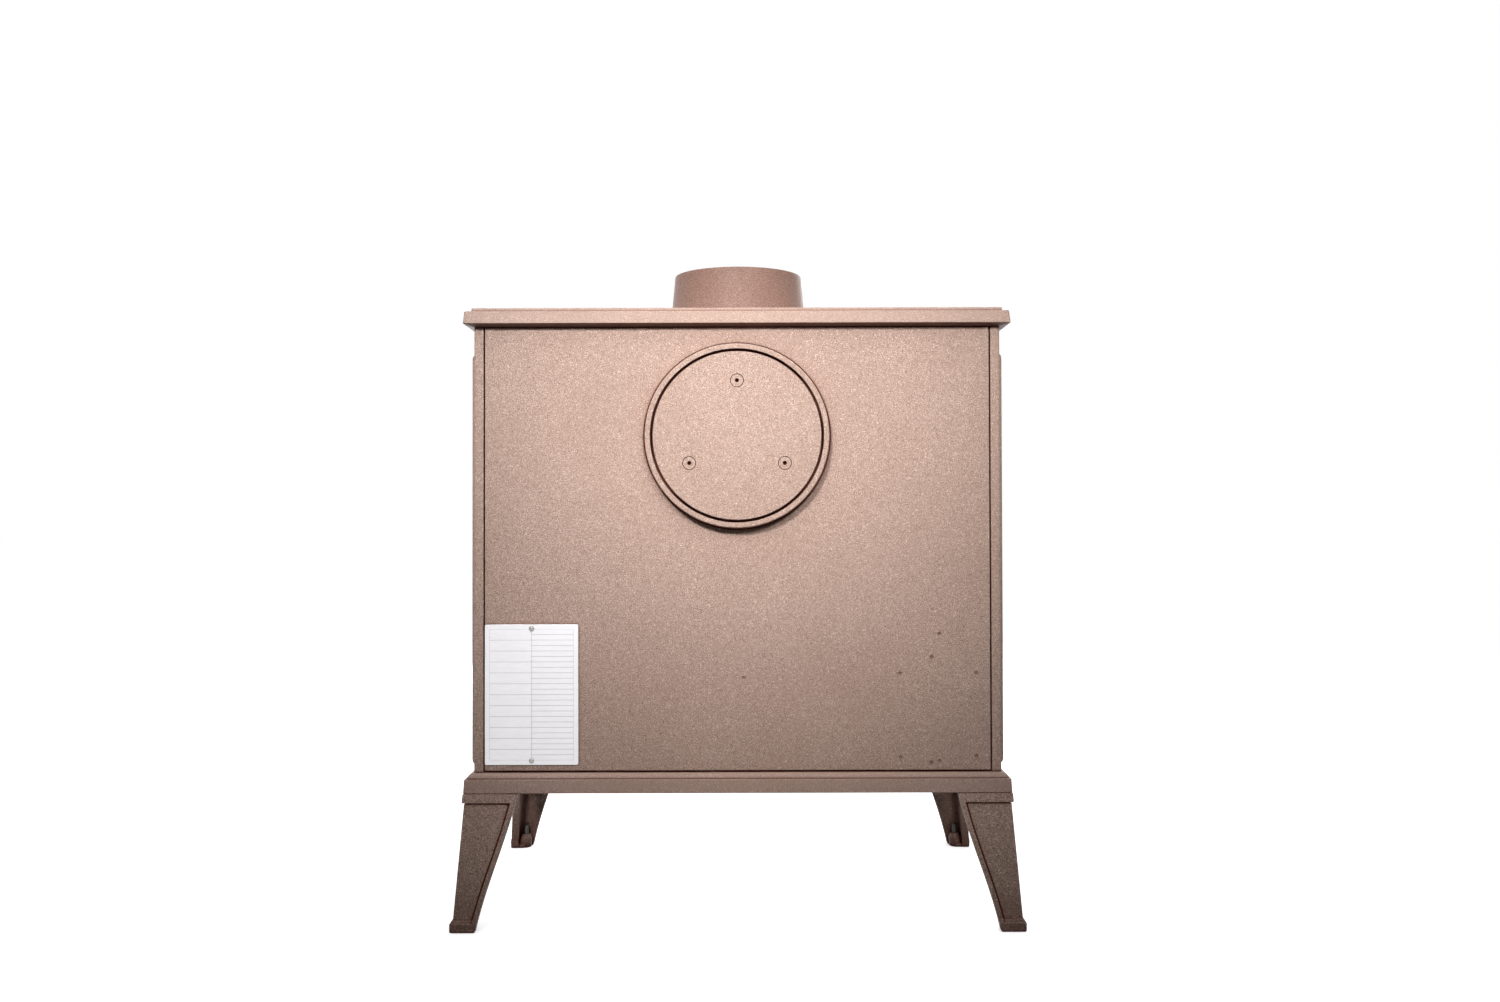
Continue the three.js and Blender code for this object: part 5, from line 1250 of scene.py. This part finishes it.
def add_rails(form, height):
    """Rails round an air slide, with lips that hold it and stops at the ends of its travel."""
    inner = SLIDE_HALF_LENGTH + AIR_TRAVEL / 2 + SLIP
    outer = inner + RAIL_STOP
    row_half = SLIDE_HALF_HEIGHT + SLIP + RAIL_HEIGHT
    depth, lip_depth = (HALF_DEPTH - OVERLAP, RAIL_FACE), (RAIL_FACE - RAIL_LIP, RAIL_FACE)
    for sign in (-1, 1):
        rail, lip, far = (height + sign * reach for reach in (
            SLIDE_HALF_HEIGHT + SLIP, SLIDE_HALF_HEIGHT - RAIL_LIP, row_half))
        form.block(about(0, outer), (rail, far), depth, SMALL_EDGE)
        form.block(about(0, outer), (lip, far), lip_depth, SMALL_EDGE)
        form.block((sign * inner, sign * outer), about(height, row_half), depth, SMALL_EDGE)


def hinge_tube(form, foot, top, edge=0.6 * MM):
    """A tube round the hinge pin."""
    bore = PIN_RADIUS + PIN_SLIP
    form.turned(soften([
        (bore, foot, FINE_EDGE), (KNUCKLE_RADIUS, foot, edge),
        (KNUCKLE_RADIUS, top, edge), (bore, top, FINE_EDGE),
    ], closed=True), (HINGE_X, -HINGE_W), closed=True)


def hinge_pin(name):
    foot, top = heights(name)
    head_radius, head_top = half(name).x, foot + PIN_HEAD
    show_turned(name, upright(), soften([
        (0, foot, 0), (head_radius, foot, 0.9 * MM), (head_radius, head_top, FINE_EDGE),
        (PIN_RADIUS, head_top, 0.1 * MM), (PIN_RADIUS, top, 1 * MM), (0, top, 0),
    ], steps=4), (HINGE_X, -HINGE_W))


def front_plate():
    holes = [
        door_outline(DOORWAY_HALF_WIDTH, DOORWAY_HALF_HEIGHT, DOOR_CORNER, steps=5),
        rounded(ASH_HALF_WIDTH, ASH_HALF_HEIGHT, 2 * MM, (0, centre("ash_drawer_front").z))]
    for height in AIR_ROWS:
        holes += air_slots(AIR_TRAVEL / 2, height)
    form = Form(front)
    form.slab(panel_outline(), PANEL_INSIDE, HALF_DEPTH, CAST_EDGE, holes)
    for height in AIR_ROWS:
        add_rails(form, height)
    catch_back = depths("latch_tongue")[1] + SLIP
    catch_face = catch_back + CATCH_THICKNESS
    left = DOOR_HALF_WIDTH + CATCH_GAP
    right = left + CATCH_LENGTH
    form.block((right - CATCH_POST, right), CATCH_HEIGHTS, (HALF_DEPTH - OVERLAP, catch_face))
    form.block((left, right), CATCH_HEIGHTS, (catch_back, catch_face), 0.8 * MM)
    form.place = upright()
    for height in HINGE_HEIGHTS:
        hinge_tube(form, height - HINGE_LUG_HEIGHT, height)
        form.block(
            about(HINGE_X, KNUCKLE_RADIUS),
            (-(HALF_DEPTH - OVERLAP), -(HINGE_W - KNUCKLE_RADIUS * 0.75)),
            (height - HINGE_LUG_HEIGHT, height))
    show("front_plate", form)
    for end in ("lower", "upper"):
        hinge_pin(f"hinge_pin_{end}")


# Door
DOOR_MOULDING = 8 * MM
DOOR_MOULDING_STEP = 0.6 * MM
WINDOW_HALF_WIDTH = DOOR_HALF_WIDTH - 72 * MM
WINDOW_HALF_HEIGHT = DOOR_HALF_HEIGHT - 55.5 * MM
WINDOW_FLARE = 7 * MM
WINDOW_LAND = 1.5 * MM
GLASS_HALF_WIDTH = high("door_glass").x
GLASS_HALF_HEIGHT = high("door_glass").z - DOOR_MIDDLE
GLASS_THICKNESS = 4 * MM
GLASS_SEAL = 1.6 * MM
GLASS_REBATE = DOOR_BACK + GLASS_THICKNESS + GLASS_SEAL + 3 * SEAT
RETAINER_BAND = 17 * MM
ROPE_INSET = 5 * MM
ROPE_CHANNEL = 9 * MM
ROPE_DEPTH = 7 * MM
ROPE_SIDES = 20
ROPE_STEPS = 6
ROPE_BRAID = 0.14
HANDLE_X = DOOR_HALF_WIDTH - 19 * MM
SHAFT_RADIUS = 4.5 * MM
POCKET_HALF = 9 * MM
POCKET_FLOOR = DOOR_BACK + 9 * MM
POCKET_RISE = 28.5 * MM
HANDLE_LEAN = 35
# How far a cutter stands out of the piece that it cuts
CUT_THROUGH = 5 * MM


def door_outline(reach_u, reach_v, radius, steps=6):
    return rounded(reach_u, reach_v, radius, (0, DOOR_MIDDLE), steps)


def door_contour(half_u, half_v, corner, profile):
    return rectangles(half_u, half_v, corner, profile, (0, DOOR_MIDDLE), steps=6)


def door_frame():
    edge = DOOR_FACE - DOOR_MOULDING / 2
    outer = soften([
        (-FLAT, DOOR_BACK, 0),
        (0, DOOR_BACK, CAST_EDGE),
        (0, edge, SOFT_EDGE),
        (-DOOR_MOULDING / 2, edge + DOOR_MOULDING_STEP, 1 * MM),
        (-DOOR_MOULDING, DOOR_FACE, 2 * MM),
        (-DOOR_MOULDING - 4 * FLAT, DOOR_FACE, 0),
    ], steps=4)
    seat = GLASS_HALF_WIDTH + SLIP - WINDOW_HALF_WIDTH
    window = soften([
        (seat, DOOR_BACK, 0),
        (seat, GLASS_REBATE, FINE_EDGE),
        (0, GLASS_REBATE, SMALL_EDGE),
        (0, GLASS_REBATE + WINDOW_LAND, 1 * MM),
        (WINDOW_FLARE, DOOR_FACE, 1.4 * MM),
        (WINDOW_FLARE + FLAT, DOOR_FACE, 0),
    ], steps=4)
    near, far = ROPE_INSET, ROPE_INSET + ROPE_CHANNEL
    floor = DOOR_BACK + ROPE_DEPTH
    channel = soften([
        (far, DOOR_BACK, 0), (far, floor, 1.5 * MM), (near, floor, 1.5 * MM), (near, DOOR_BACK, 0)])
    form = Form(front)
    form.plate([
        door_contour(DOOR_HALF_WIDTH, DOOR_HALF_HEIGHT, DOOR_CORNER, outer),
        door_contour(WINDOW_HALF_WIDTH, WINDOW_HALF_HEIGHT, DOOR_CORNER / 2, window),
    ], bottom_grooves=[door_contour(DOORWAY_HALF_WIDTH, DOORWAY_HALF_HEIGHT, DOOR_CORNER, channel)])
    pocket = Form(front)
    pocket.block(
        (HANDLE_X - POCKET_HALF, DOOR_HALF_WIDTH + CUT_THROUGH),
        (DOOR_MIDDLE - POCKET_HALF, DOOR_MIDDLE + POCKET_RISE),
        (DOOR_BACK - CUT_THROUGH, POCKET_FLOOR), SMALL_EDGE)
    bore, bore_end = SHAFT_RADIUS + SLIP, DOOR_FACE + CUT_THROUGH
    shaft = Form(front)
    shaft.turned([
        (0, DOOR_BACK), (bore, DOOR_BACK), (bore, bore_end), (0, bore_end)], (HANDLE_X, DOOR_MIDDLE))
    shown = show("door_frame", form, [pocket, shaft])
    knuckles = Form(upright())
    for height in HINGE_HEIGHTS:
        hinge_tube(knuckles, height + SEAT, height + KNUCKLE_HEIGHT)
        knuckles.block(
            (HINGE_X + PIN_RADIUS + 1 * MM, -DOOR_HALF_WIDTH + 5 * MM),
            (-(HINGE_W - KNUCKLE_RADIUS / 2), -(HINGE_W + KNUCKLE_RADIUS / 4)),
            (height + SEAT, height + KNUCKLE_HEIGHT))
    join(shown, knuckles)


def rope(node, corner, width, strands, pitch):
    """A braided rope laid along a rounded rectangle of the door."""
    back, face = depths(node)
    middle, half_depth = (back + face) / 2, (face - back) / 2
    line = door_outline(high(node).x - width / 2, high(node).z - DOOR_MIDDLE - width / 2, corner, 12)
    path = resampled(line, pitch / ROPE_STEPS)
    turns = round(len(path) / (2 * ROPE_STEPS))
    form = Form(front)
    rings = []
    for index, (point, ahead) in enumerate(path):
        across = Vector((-ahead.y, ahead.x))
        phase = math.tau * turns * index / len(path)
        ring = []
        for turn in range(ROPE_SIDES):
            angle = math.tau * turn / ROPE_SIDES
            braid = max(abs(math.cos(strands / 2 * angle + lay)) for lay in (phase, -phase))
            swell = 1 - ROPE_BRAID + ROPE_BRAID * braid
            place = point + across * math.cos(angle) * width / 2 * swell
            height = middle + math.sin(angle) * half_depth * swell
            ring.append(form.mesh.verts.new(form.place(*place, height)))
        rings.append(ring)
    for index, ring in enumerate(rings):
        form.bridge(ring, rings[(index + 1) % len(rings)])
    show(node, form, angle=180)


def door_fittings():
    pane = door_outline(GLASS_HALF_WIDTH, GLASS_HALF_HEIGHT, DOOR_CORNER / 2)
    show_slab("door_glass", front, pane, depths("door_glass"), SMALL_EDGE)
    rope("glass_seal", DOOR_CORNER / 2, 7 * MM, strands=6, pitch=6 * MM)
    rope("door_seal", DOOR_CORNER, ROPE_CHANNEL - 2 * SEAT, strands=8, pitch=12 * MM)
    reach_u, reach_v = high("glass_retainer").x, high("glass_retainer").z - DOOR_MIDDLE
    show_slab(
        "glass_retainer", front, door_outline(reach_u, reach_v, DOOR_CORNER), depths("glass_retainer"),
        0.4 * MM,
        [door_outline(reach_u - RETAINER_BAND, reach_v - RETAINER_BAND, DOOR_CORNER / 2)])
    for index in (1, 2):
        pan_screw(f"glass_screw_{index}", *GLASS_SCREW)


# Door handle, drawn latched round its own axis and leaned to its place at rest
HUB_RADIUS = 10 * MM
HUB_BACK = DOOR_FACE + SLIP
HUB_FACE = HUB_BACK + 13.6 * MM
ARM_LENGTH = 36 * MM
ARM_THICKNESS = 8 * MM
ARM_END_RADIUS = 7 * MM
ARM_STEPS = 16
POST_RADIUS = 5.5 * MM
POST_FILLET = 2 * MM
GRIP_REACH = DOOR_FACE + 32 * MM
GRIP_LENGTH = 80 * MM
GRIP_RADIUS = 8.5 * MM
GRIP_NECK = 6 * MM
GRIP_TOP = -(ARM_LENGTH + GRIP_RADIUS + SEAT)
GRIP_MIDDLE = GRIP_TOP - GRIP_LENGTH / 2
TANG_RADIUS = 3 * MM
# Shares of the grip's radius and length, from its foot up
GRIP_SHARES = (
    (0.0, 0.0), (0.52, 0.0), (0.8, 0.012), (0.95, 0.05), (1.0, 0.11), (0.985, 0.22), (0.94, 0.35),
    (0.88, 0.5), (0.82, 0.65), (0.77, 0.8), (0.74, 0.9), (0.74, 0.93), (0.66, 0.94), (0.66, 0.95),
    (0.74, 0.96), (0.72, 0.995), (0.68, 1.0))
TONGUE_LENGTH = 34 * MM
TONGUE_HALF_WIDTH = 6 * MM
TONGUE_HUB_RADIUS = 7.5 * MM
TONGUE_HUB_ARC = (60, 300)
TONGUE_ROOT = 6 * MM
TONGUE_STEPS = 16


def leaned(place):
    """A way to stand a shape round the handle's shaft, leaned over with the handle."""
    turn = Matrix.Rotation(math.radians(-HANDLE_LEAN), 3, "Y")
    axis = Vector((HANDLE_X, MID, DOOR_MIDDLE))

    def placed(u, v, w):
        x, y, z = place(u, v, w)
        return tuple(axis + turn @ Vector((x, y - MID, z)))
    return placed


def door_handle():
    root = HUB_FACE - OVERLAP
    form = Form(leaned(front))
    form.turned(soften([
        (0, HUB_BACK, 0), (HUB_RADIUS, HUB_BACK, 0.8 * MM), (HUB_RADIUS, root, 0.4 * MM), (0, root, 0)]))
    arm = [polar(HUB_RADIUS, share * math.pi) for share in shares(ARM_STEPS)]
    arm += [polar(ARM_END_RADIUS, (1 + share) * math.pi, (0, -ARM_LENGTH)) for share in shares(ARM_STEPS)]
    form.slab(arm, HUB_FACE - ARM_THICKNESS, HUB_FACE, SOFT_EDGE)
    form.turned(soften([
        (0, root, 0),
        (POST_RADIUS + 1.5 * MM, root, 0.2 * MM),
        (POST_RADIUS, HUB_FACE + POST_FILLET, 1.5 * MM),
        (POST_RADIUS, GRIP_REACH + POST_RADIUS * 0.55, 2 * MM),
        (POST_RADIUS * 0.5, GRIP_REACH + POST_RADIUS, 1.5 * MM),
        (0, GRIP_REACH + POST_RADIUS, 0),
    ], steps=5), (0, -ARM_LENGTH))
    form.place = leaned(upright())
    form.turned(soften([
        (0, GRIP_TOP + SEAT, 0),
        (GRIP_NECK, GRIP_TOP + SEAT, 0.4 * MM),
        (GRIP_NECK, GRIP_TOP + 3 * MM, 1 * MM),
        (GRIP_NECK * 0.8, -ARM_LENGTH, 0),
        (0, -ARM_LENGTH, 0),
    ]), (0, -GRIP_REACH))
    form.turned([
        (0, GRIP_MIDDLE), (TANG_RADIUS, GRIP_MIDDLE), (TANG_RADIUS, -ARM_LENGTH), (0, -ARM_LENGTH),
    ], (0, -GRIP_REACH), SMALL_SIDES)
    show("door_handle", form)


def handle_grip():
    foot, bore = GRIP_TOP - GRIP_LENGTH, TANG_RADIUS + SEAT
    profile = [(GRIP_RADIUS * wide, foot + GRIP_LENGTH * far) for wide, far in GRIP_SHARES]
    profile += [(bore, GRIP_TOP), (bore, GRIP_MIDDLE - SEAT), (0, GRIP_MIDDLE - SEAT)]
    show_turned("handle_grip", leaned(upright()), profile, (0, -GRIP_REACH), angle=50)


def handle_shaft():
    foot, end = DOOR_BACK + SLIP, HUB_FACE - SHAFT_RADIUS / 2
    profile = soften([(0, foot), (SHAFT_RADIUS, foot), (SHAFT_RADIUS, end), (0, end)], SMALL_EDGE)
    show_turned("handle_shaft", leaned(front), profile)


def latch_tongue():
    start, end = (math.radians(angle) for angle in TONGUE_HUB_ARC)
    outline = [polar(TONGUE_HUB_RADIUS, start + share * (end - start)) for share in shares(TONGUE_STEPS)]
    outline += [
        (TONGUE_ROOT, -TONGUE_HALF_WIDTH), (TONGUE_LENGTH, -TONGUE_HALF_WIDTH),
        (TONGUE_LENGTH, TONGUE_HALF_WIDTH), (TONGUE_ROOT, TONGUE_HALF_WIDTH)]
    hole = circle(SHAFT_RADIUS + SEAT, MEDIUM_SIDES)
    show_slab("latch_tongue", leaned(front), outline, depths("latch_tongue"), 0.4 * MM, [hole])


# Ash drawer, air slides and their knobs
DRAWER_SHEET = 2 * MM
DRAWER_MOULDING = 3 * MM
KNOB_HEIGHT = {"ash_drawer": 26 * MM, "primary_air": 24 * MM, "secondary_air": 24 * MM}
KNOB_STEM = {"ash_drawer": 2.5 * MM, "primary_air": 2 * MM, "secondary_air": 2 * MM}
STEM_SLIP = 0.3 * MM
# Shares of a knob's radius and height, from its foot out
KNOB_SHARES = (
    (0.58, 0.0), (0.58, 0.04), (0.45, 0.14), (0.42, 0.3), (0.47, 0.44), (0.72, 0.54), (0.92, 0.61),
    (0.99, 0.7), (1.0, 0.78), (0.96, 0.87), (0.86, 0.94), (0.66, 0.985), (0.5, 1.0), (0.0, 1.0))


def knob(owner):
    name = f"{owner}_knob"
    stem, height = KNOB_STEM[owner], KNOB_HEIGHT[owner]
    root, tip = depths(name)
    seat = tip - height
    profile = [(0, root), (stem, root), (stem, seat)]
    profile += [(half(name).x * wide, seat + height * far) for wide, far in KNOB_SHARES]
    show_turned(name, front, profile, (centre(name).x, centre(name).z), angle=50)


def air_slide(owner):
    name = f"{owner}_slide"
    at = (centre(name).x, centre(name).z)
    outline = rounded(SLIDE_HALF_LENGTH, SLIDE_HALF_HEIGHT, 0.8 * MM, at, steps=3)
    holes = air_slots(*at) + [circle(KNOB_STEM[owner] + STEM_SLIP, SMALL_SIDES, at)]
    show_slab(name, front, outline, depths(name), FINE_EDGE, holes)
    knob(owner)


def ash_drawer():
    foot, top = heights("ash_drawer")
    reach, at = half("ash_drawer"), (0, centre("ash_drawer").y - MID)
    outer = [(-inset, height) for inset, height in rim(0.6 * MM, foot, top)]
    inner = soften([
        (-DRAWER_SHEET - 3 * MM, foot + DRAWER_SHEET, 0),
        (-DRAWER_SHEET, foot + DRAWER_SHEET, 1.5 * MM),
        (-DRAWER_SHEET, top, 0.4 * MM),
        (-DRAWER_SHEET + 0.4 * MM, top, 0)])
    form = Form(upright())
    form.plate(
        [rectangles(reach.x, reach.y, 3 * MM, outer, at)],
        top=[rectangles(reach.x, reach.y, 2 * MM, inner, at)])
    show("ash_drawer", form)


def ash_drawer_front():
    back, face = depths("ash_drawer_front")
    reach, at = half("ash_drawer_front"), (0, centre("ash_drawer_front").z)
    outer = soften([
        (-0.6 * MM, back, 0),
        (0, back + 0.6 * MM, 0),
        (0, face - DRAWER_MOULDING, 0.8 * MM),
        (-DRAWER_MOULDING / 3, face - DRAWER_MOULDING / 3, 0.8 * MM),
        (-DRAWER_MOULDING, face, SOFT_EDGE),
        (-DRAWER_MOULDING - 3 * FLAT, face, 0),
    ], steps=4)
    bore = KNOB_STEM["ash_drawer"] + STEM_SLIP
    stem_hole = circles([(bore, back), (bore, face)], at)
    form = Form(front)
    form.plate([rectangles(reach.x, reach.z, PLATE_CORNER, outer, at), stem_hole])
    show("ash_drawer_front", form)
    knob("ash_drawer")


# Firebox
GRATE_LAP = 6 * MM
GRATE_BORDER = 10 * MM
GRATE_BARS = 11
GRATE_BAR = 9 * MM
FENDER_BARS = 9
FENDER_RAIL = 9 * MM
BAFFLE_THICKNESS = 12 * MM


def hearth_plate():
    foot, top = heights("hearth_plate")
    well = soften([
        (-GRATE_LAP - FINE_EDGE, foot, 0),
        (-GRATE_LAP, (foot + top) / 2, SMALL_EDGE),
        (0, (foot + top) / 2, SMALL_EDGE),
        (0, top, SMALL_EDGE),
        (0.6 * MM, top, 0)])
    outline = rounded(high("hearth_plate").x, high("hearth_plate").y - MID, 2 * MM)
    reach_u, reach_v = high("fire_grate").x + SLIP, high("fire_grate").y - MID + SLIP
    form = Form(upright())
    form.plate([drawn_in(outline, rim(CAST_EDGE, foot, top)), rectangles(reach_u, reach_v, 2 * MM, well)])
    show("hearth_plate", form)


def fire_grate():
    reach_u, reach_v = high("fire_grate").x, high("fire_grate").y - MID
    inner_u, inner_v = reach_u - GRATE_BORDER, reach_v - GRATE_BORDER
    pitch = 2 * inner_u / (GRATE_BARS + 1)
    holes = []
    for gap in range(GRATE_BARS + 1):
        start = -inner_u + gap * pitch + (GRATE_BAR / 2 if gap else 0)
        end = -inner_u + (gap + 1) * pitch - (GRATE_BAR / 2 if gap < GRATE_BARS else 0)
        holes.append(rounded((end - start) / 2, inner_v, 2 * MM, ((start + end) / 2, 0), steps=3))
    outline = rounded(reach_u, reach_v, 2 * MM)
    show_slab("fire_grate", upright(), outline, heights("fire_grate"), 1 * MM, holes)


def brick(name, outline, start, end, sign=1):
    """A liner board, from its outline seen from the side."""
    show_slab(name, side(sign), soften(outline, BRICK_EDGE, closed=True), (start, end), BRICK_EDGE)


def bricks():
    front_v, rear_foot = low("baffle_plate").y - MID, low("baffle_plate").z
    rear_v, front_top = high("baffle_plate").y - MID, high("baffle_plate").z
    front_foot, reach = front_top - BAFFLE_THICKNESS, high("baffle_plate").x
    brick("baffle_plate", [
        (rear_v, rear_foot), (rear_v, rear_foot + BAFFLE_THICKNESS),
        (front_v, front_top), (front_v, front_foot)], -reach, reach)
    lowest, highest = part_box("side_liner_right")
    end = lowest.y - MID
    for name, sign in (("side_liner_left", -1), ("side_liner_right", 1)):
        brick(name, [
            (rear_v, lowest.z), (rear_v, rear_foot - SEAT), (front_v, front_foot - SEAT),
            (end, front_foot - SEAT), (end, lowest.z)], lowest.x, highest.x, sign)
    lowest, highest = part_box("rear_liner")
    brick("rear_liner", [
        (highest.y - MID, lowest.z), (highest.y - MID, highest.z),
        (lowest.y - MID, highest.z), (lowest.y - MID, lowest.z)], lowest.x, highest.x)


def log_retainer():
    reach, middle = half("log_retainer"), centre("log_retainer").z
    pitch = 2 * (high("log_retainer").x - FENDER_RAIL / 2) / (FENDER_BARS - 1)
    holes = [rounded(
        (pitch - FENDER_RAIL) / 2, reach.z - FENDER_RAIL, 3 * MM,
        ((gap - (FENDER_BARS - 2) / 2) * pitch, middle), steps=4) for gap in range(FENDER_BARS - 1)]
    outline = rounded(reach.x, reach.z, 2 * MM, (0, middle))
    show_slab("log_retainer", front, outline, depths("log_retainer"), 1 * MM, holes)


# Camera, floor and light
IMAGE_WIDTH = 1500
FOCAL_PIXELS = 1390.1
SENSOR_WIDTH = 36
CAMERA_CLIP = (0.05, 60)
CAMERA_PLACE = (-0.0124, 1.6786, 0.4284)
CAMERA_YAW = -0.0008
CAMERA_PITCH = 0.0149
CAMERA_ROLL = -0.0024
AMBIENT = 0.07
FLOOR_SIZE = 30
FLOOR_CLOTH = 0.9
FLOOR_RETURN = 0.12
FLOOR_SHADOW_REACH = 70 * MM
FLOOR_SHADOW_FADE = (0.2, 0.9)
FLOOR_SHADOW = 0.55
FLOOR_GLOW = 1 - AMBIENT * FLOOR_CLOTH
# Each lamp's place, what it points at, its width and height, power and beam angle
LAMPS = {
    "rear_key": ((0.5, 1.7, 1.5), (0.1, 0.2, 0.555), (0.3, 0.3), 1.25, 29),
    "rear_fill": ((-0.5, 1.7, 1.4), (-0.17, 0.2, 0.6), (0.4, 0.4), 0.74, 26),
    "overhead": ((0.0, 0.9, 2.1), (0.0, 0.2, 0.2), (0.7, 0.7), 0.8, 60),
    "front": ((-0.9, -2.2, 1.7), (0, -0.2, 0.4), (1.4, 1.4), 36, 180),
    "front_low": ((0.9, -2.4, 0.7), (0, -0.2, 0.4), (1.2, 1.2), 14, 180),
    "left_side": ((-2.2, -1.5, 0.9), (-0.3, 0, 0.35), (1.2, 1.2), 7, 180),
    "right_side": ((2.2, -1.5, 0.9), (0.3, 0, 0.35), (1.2, 1.2), 7, 180),
}


def camera():
    data = bpy.data.cameras.new("camera")
    data.sensor_width = SENSOR_WIDTH
    data.lens = SENSOR_WIDTH * FOCAL_PIXELS / IMAGE_WIDTH
    data.clip_start, data.clip_end = CAMERA_CLIP
    made = added("camera", data)
    made.matrix_world = Matrix.Translation(CAMERA_PLACE)
    for angle, axis in ((math.pi + CAMERA_YAW, "Z"), (math.pi / 2 + CAMERA_PITCH, "X"), (CAMERA_ROLL, "Z")):
        made.matrix_world = made.matrix_world @ Matrix.Rotation(angle, 4, axis)
    bpy.context.scene.camera = made


def grey(share):
    return (share, share, share, 1)


def stage():
    """A floor that looks white, keeps the stove's shadow, has a painted shadow where its glow is dimmed near
    the stove, and throws little light back.
    """
    data = bpy.data.meshes.new("floor")
    corners = [(x * FLOOR_SIZE, y * FLOOR_SIZE, 0) for x, y in ((-1, -1), (1, -1), (1, 1), (-1, 1))]
    data.from_pydata(corners, [], [(0, 1, 2, 3)])
    floor = added("floor", data)
    material = bpy.data.materials.new("floor")
    tree = Tree(material)
    strength = tree.ramp(
        tree.openness(FLOOR_SHADOW_REACH), *FLOOR_SHADOW_FADE, FLOOR_SHADOW * FLOOR_GLOW, FLOOR_GLOW)
    glow = tree.node("ShaderNodeEmission", {"Strength": strength}).outputs[0]
    cloth = tree.node("ShaderNodeBsdfDiffuse", {"Color": grey(FLOOR_CLOTH)}).outputs[0]
    seen = tree.node("ShaderNodeAddShader", {0: glow, 1: cloth}).outputs[0]
    unseen = tree.node("ShaderNodeBsdfDiffuse", {"Color": grey(FLOOR_RETURN)}).outputs[0]
    choice = tree.node("ShaderNodeMixShader", {0: tree.pale_rays(), 1: unseen, 2: seen}).outputs[0]
    tree.node("ShaderNodeOutputMaterial", {"Surface": choice})
    data.materials.append(material)


def world():
    made = bpy.data.worlds.new("studio")
    bpy.context.scene.world = made
    tree = Tree(made)
    strength = tree.ramp(tree.pale_rays(), 0, 1, AMBIENT, 1)
    background = tree.node("ShaderNodeBackground", {"Color": grey(1), "Strength": strength}).outputs[0]
    tree.node("ShaderNodeOutputWorld", {"Surface": background})


def lights():
    for name, (place, target, size, power, beam) in LAMPS.items():
        data = bpy.data.lights.new(name, "AREA")
        data.shape = "RECTANGLE"
        data.size, data.size_y = size
        data.energy = power
        data.spread = math.radians(beam)
        made = added(name, data)
        made.location = place
        made.rotation_euler = (Vector(target) - Vector(place)).to_track_quat("-Z", "Y").to_euler()


MATERIALS = {name: painted(name, **look) for name, look in PAINTS_AND_SHADES.items()}
for make in (bare_iron, steel, dark_steel, plate_aluminium, firebrick, glass_rope, grip_wood, ceramic_glass):
    MATERIALS[make.__name__] = make()

camera()
stage()
world()
lights()
bpy.context.scene.view_settings.view_transform = "Standard"

base_plate()
side_plate("side_plate_left", -1)
side_plate("side_plate_right", 1)
for part in (rear_plate, blanking_plate, top_plate, flue_collar):
    part()
for corner_name, signs in CORNERS.items():
    leg(corner_name, *signs)
for part in (data_plate, front_plate, door_frame, door_fittings, door_handle, handle_grip, handle_shaft,
             latch_tongue, ash_drawer, ash_drawer_front):
    part()
for slide in ("primary_air", "secondary_air"):
    air_slide(slide)
for part in (hearth_plate, fire_grate, bricks, log_retainer):
    part()
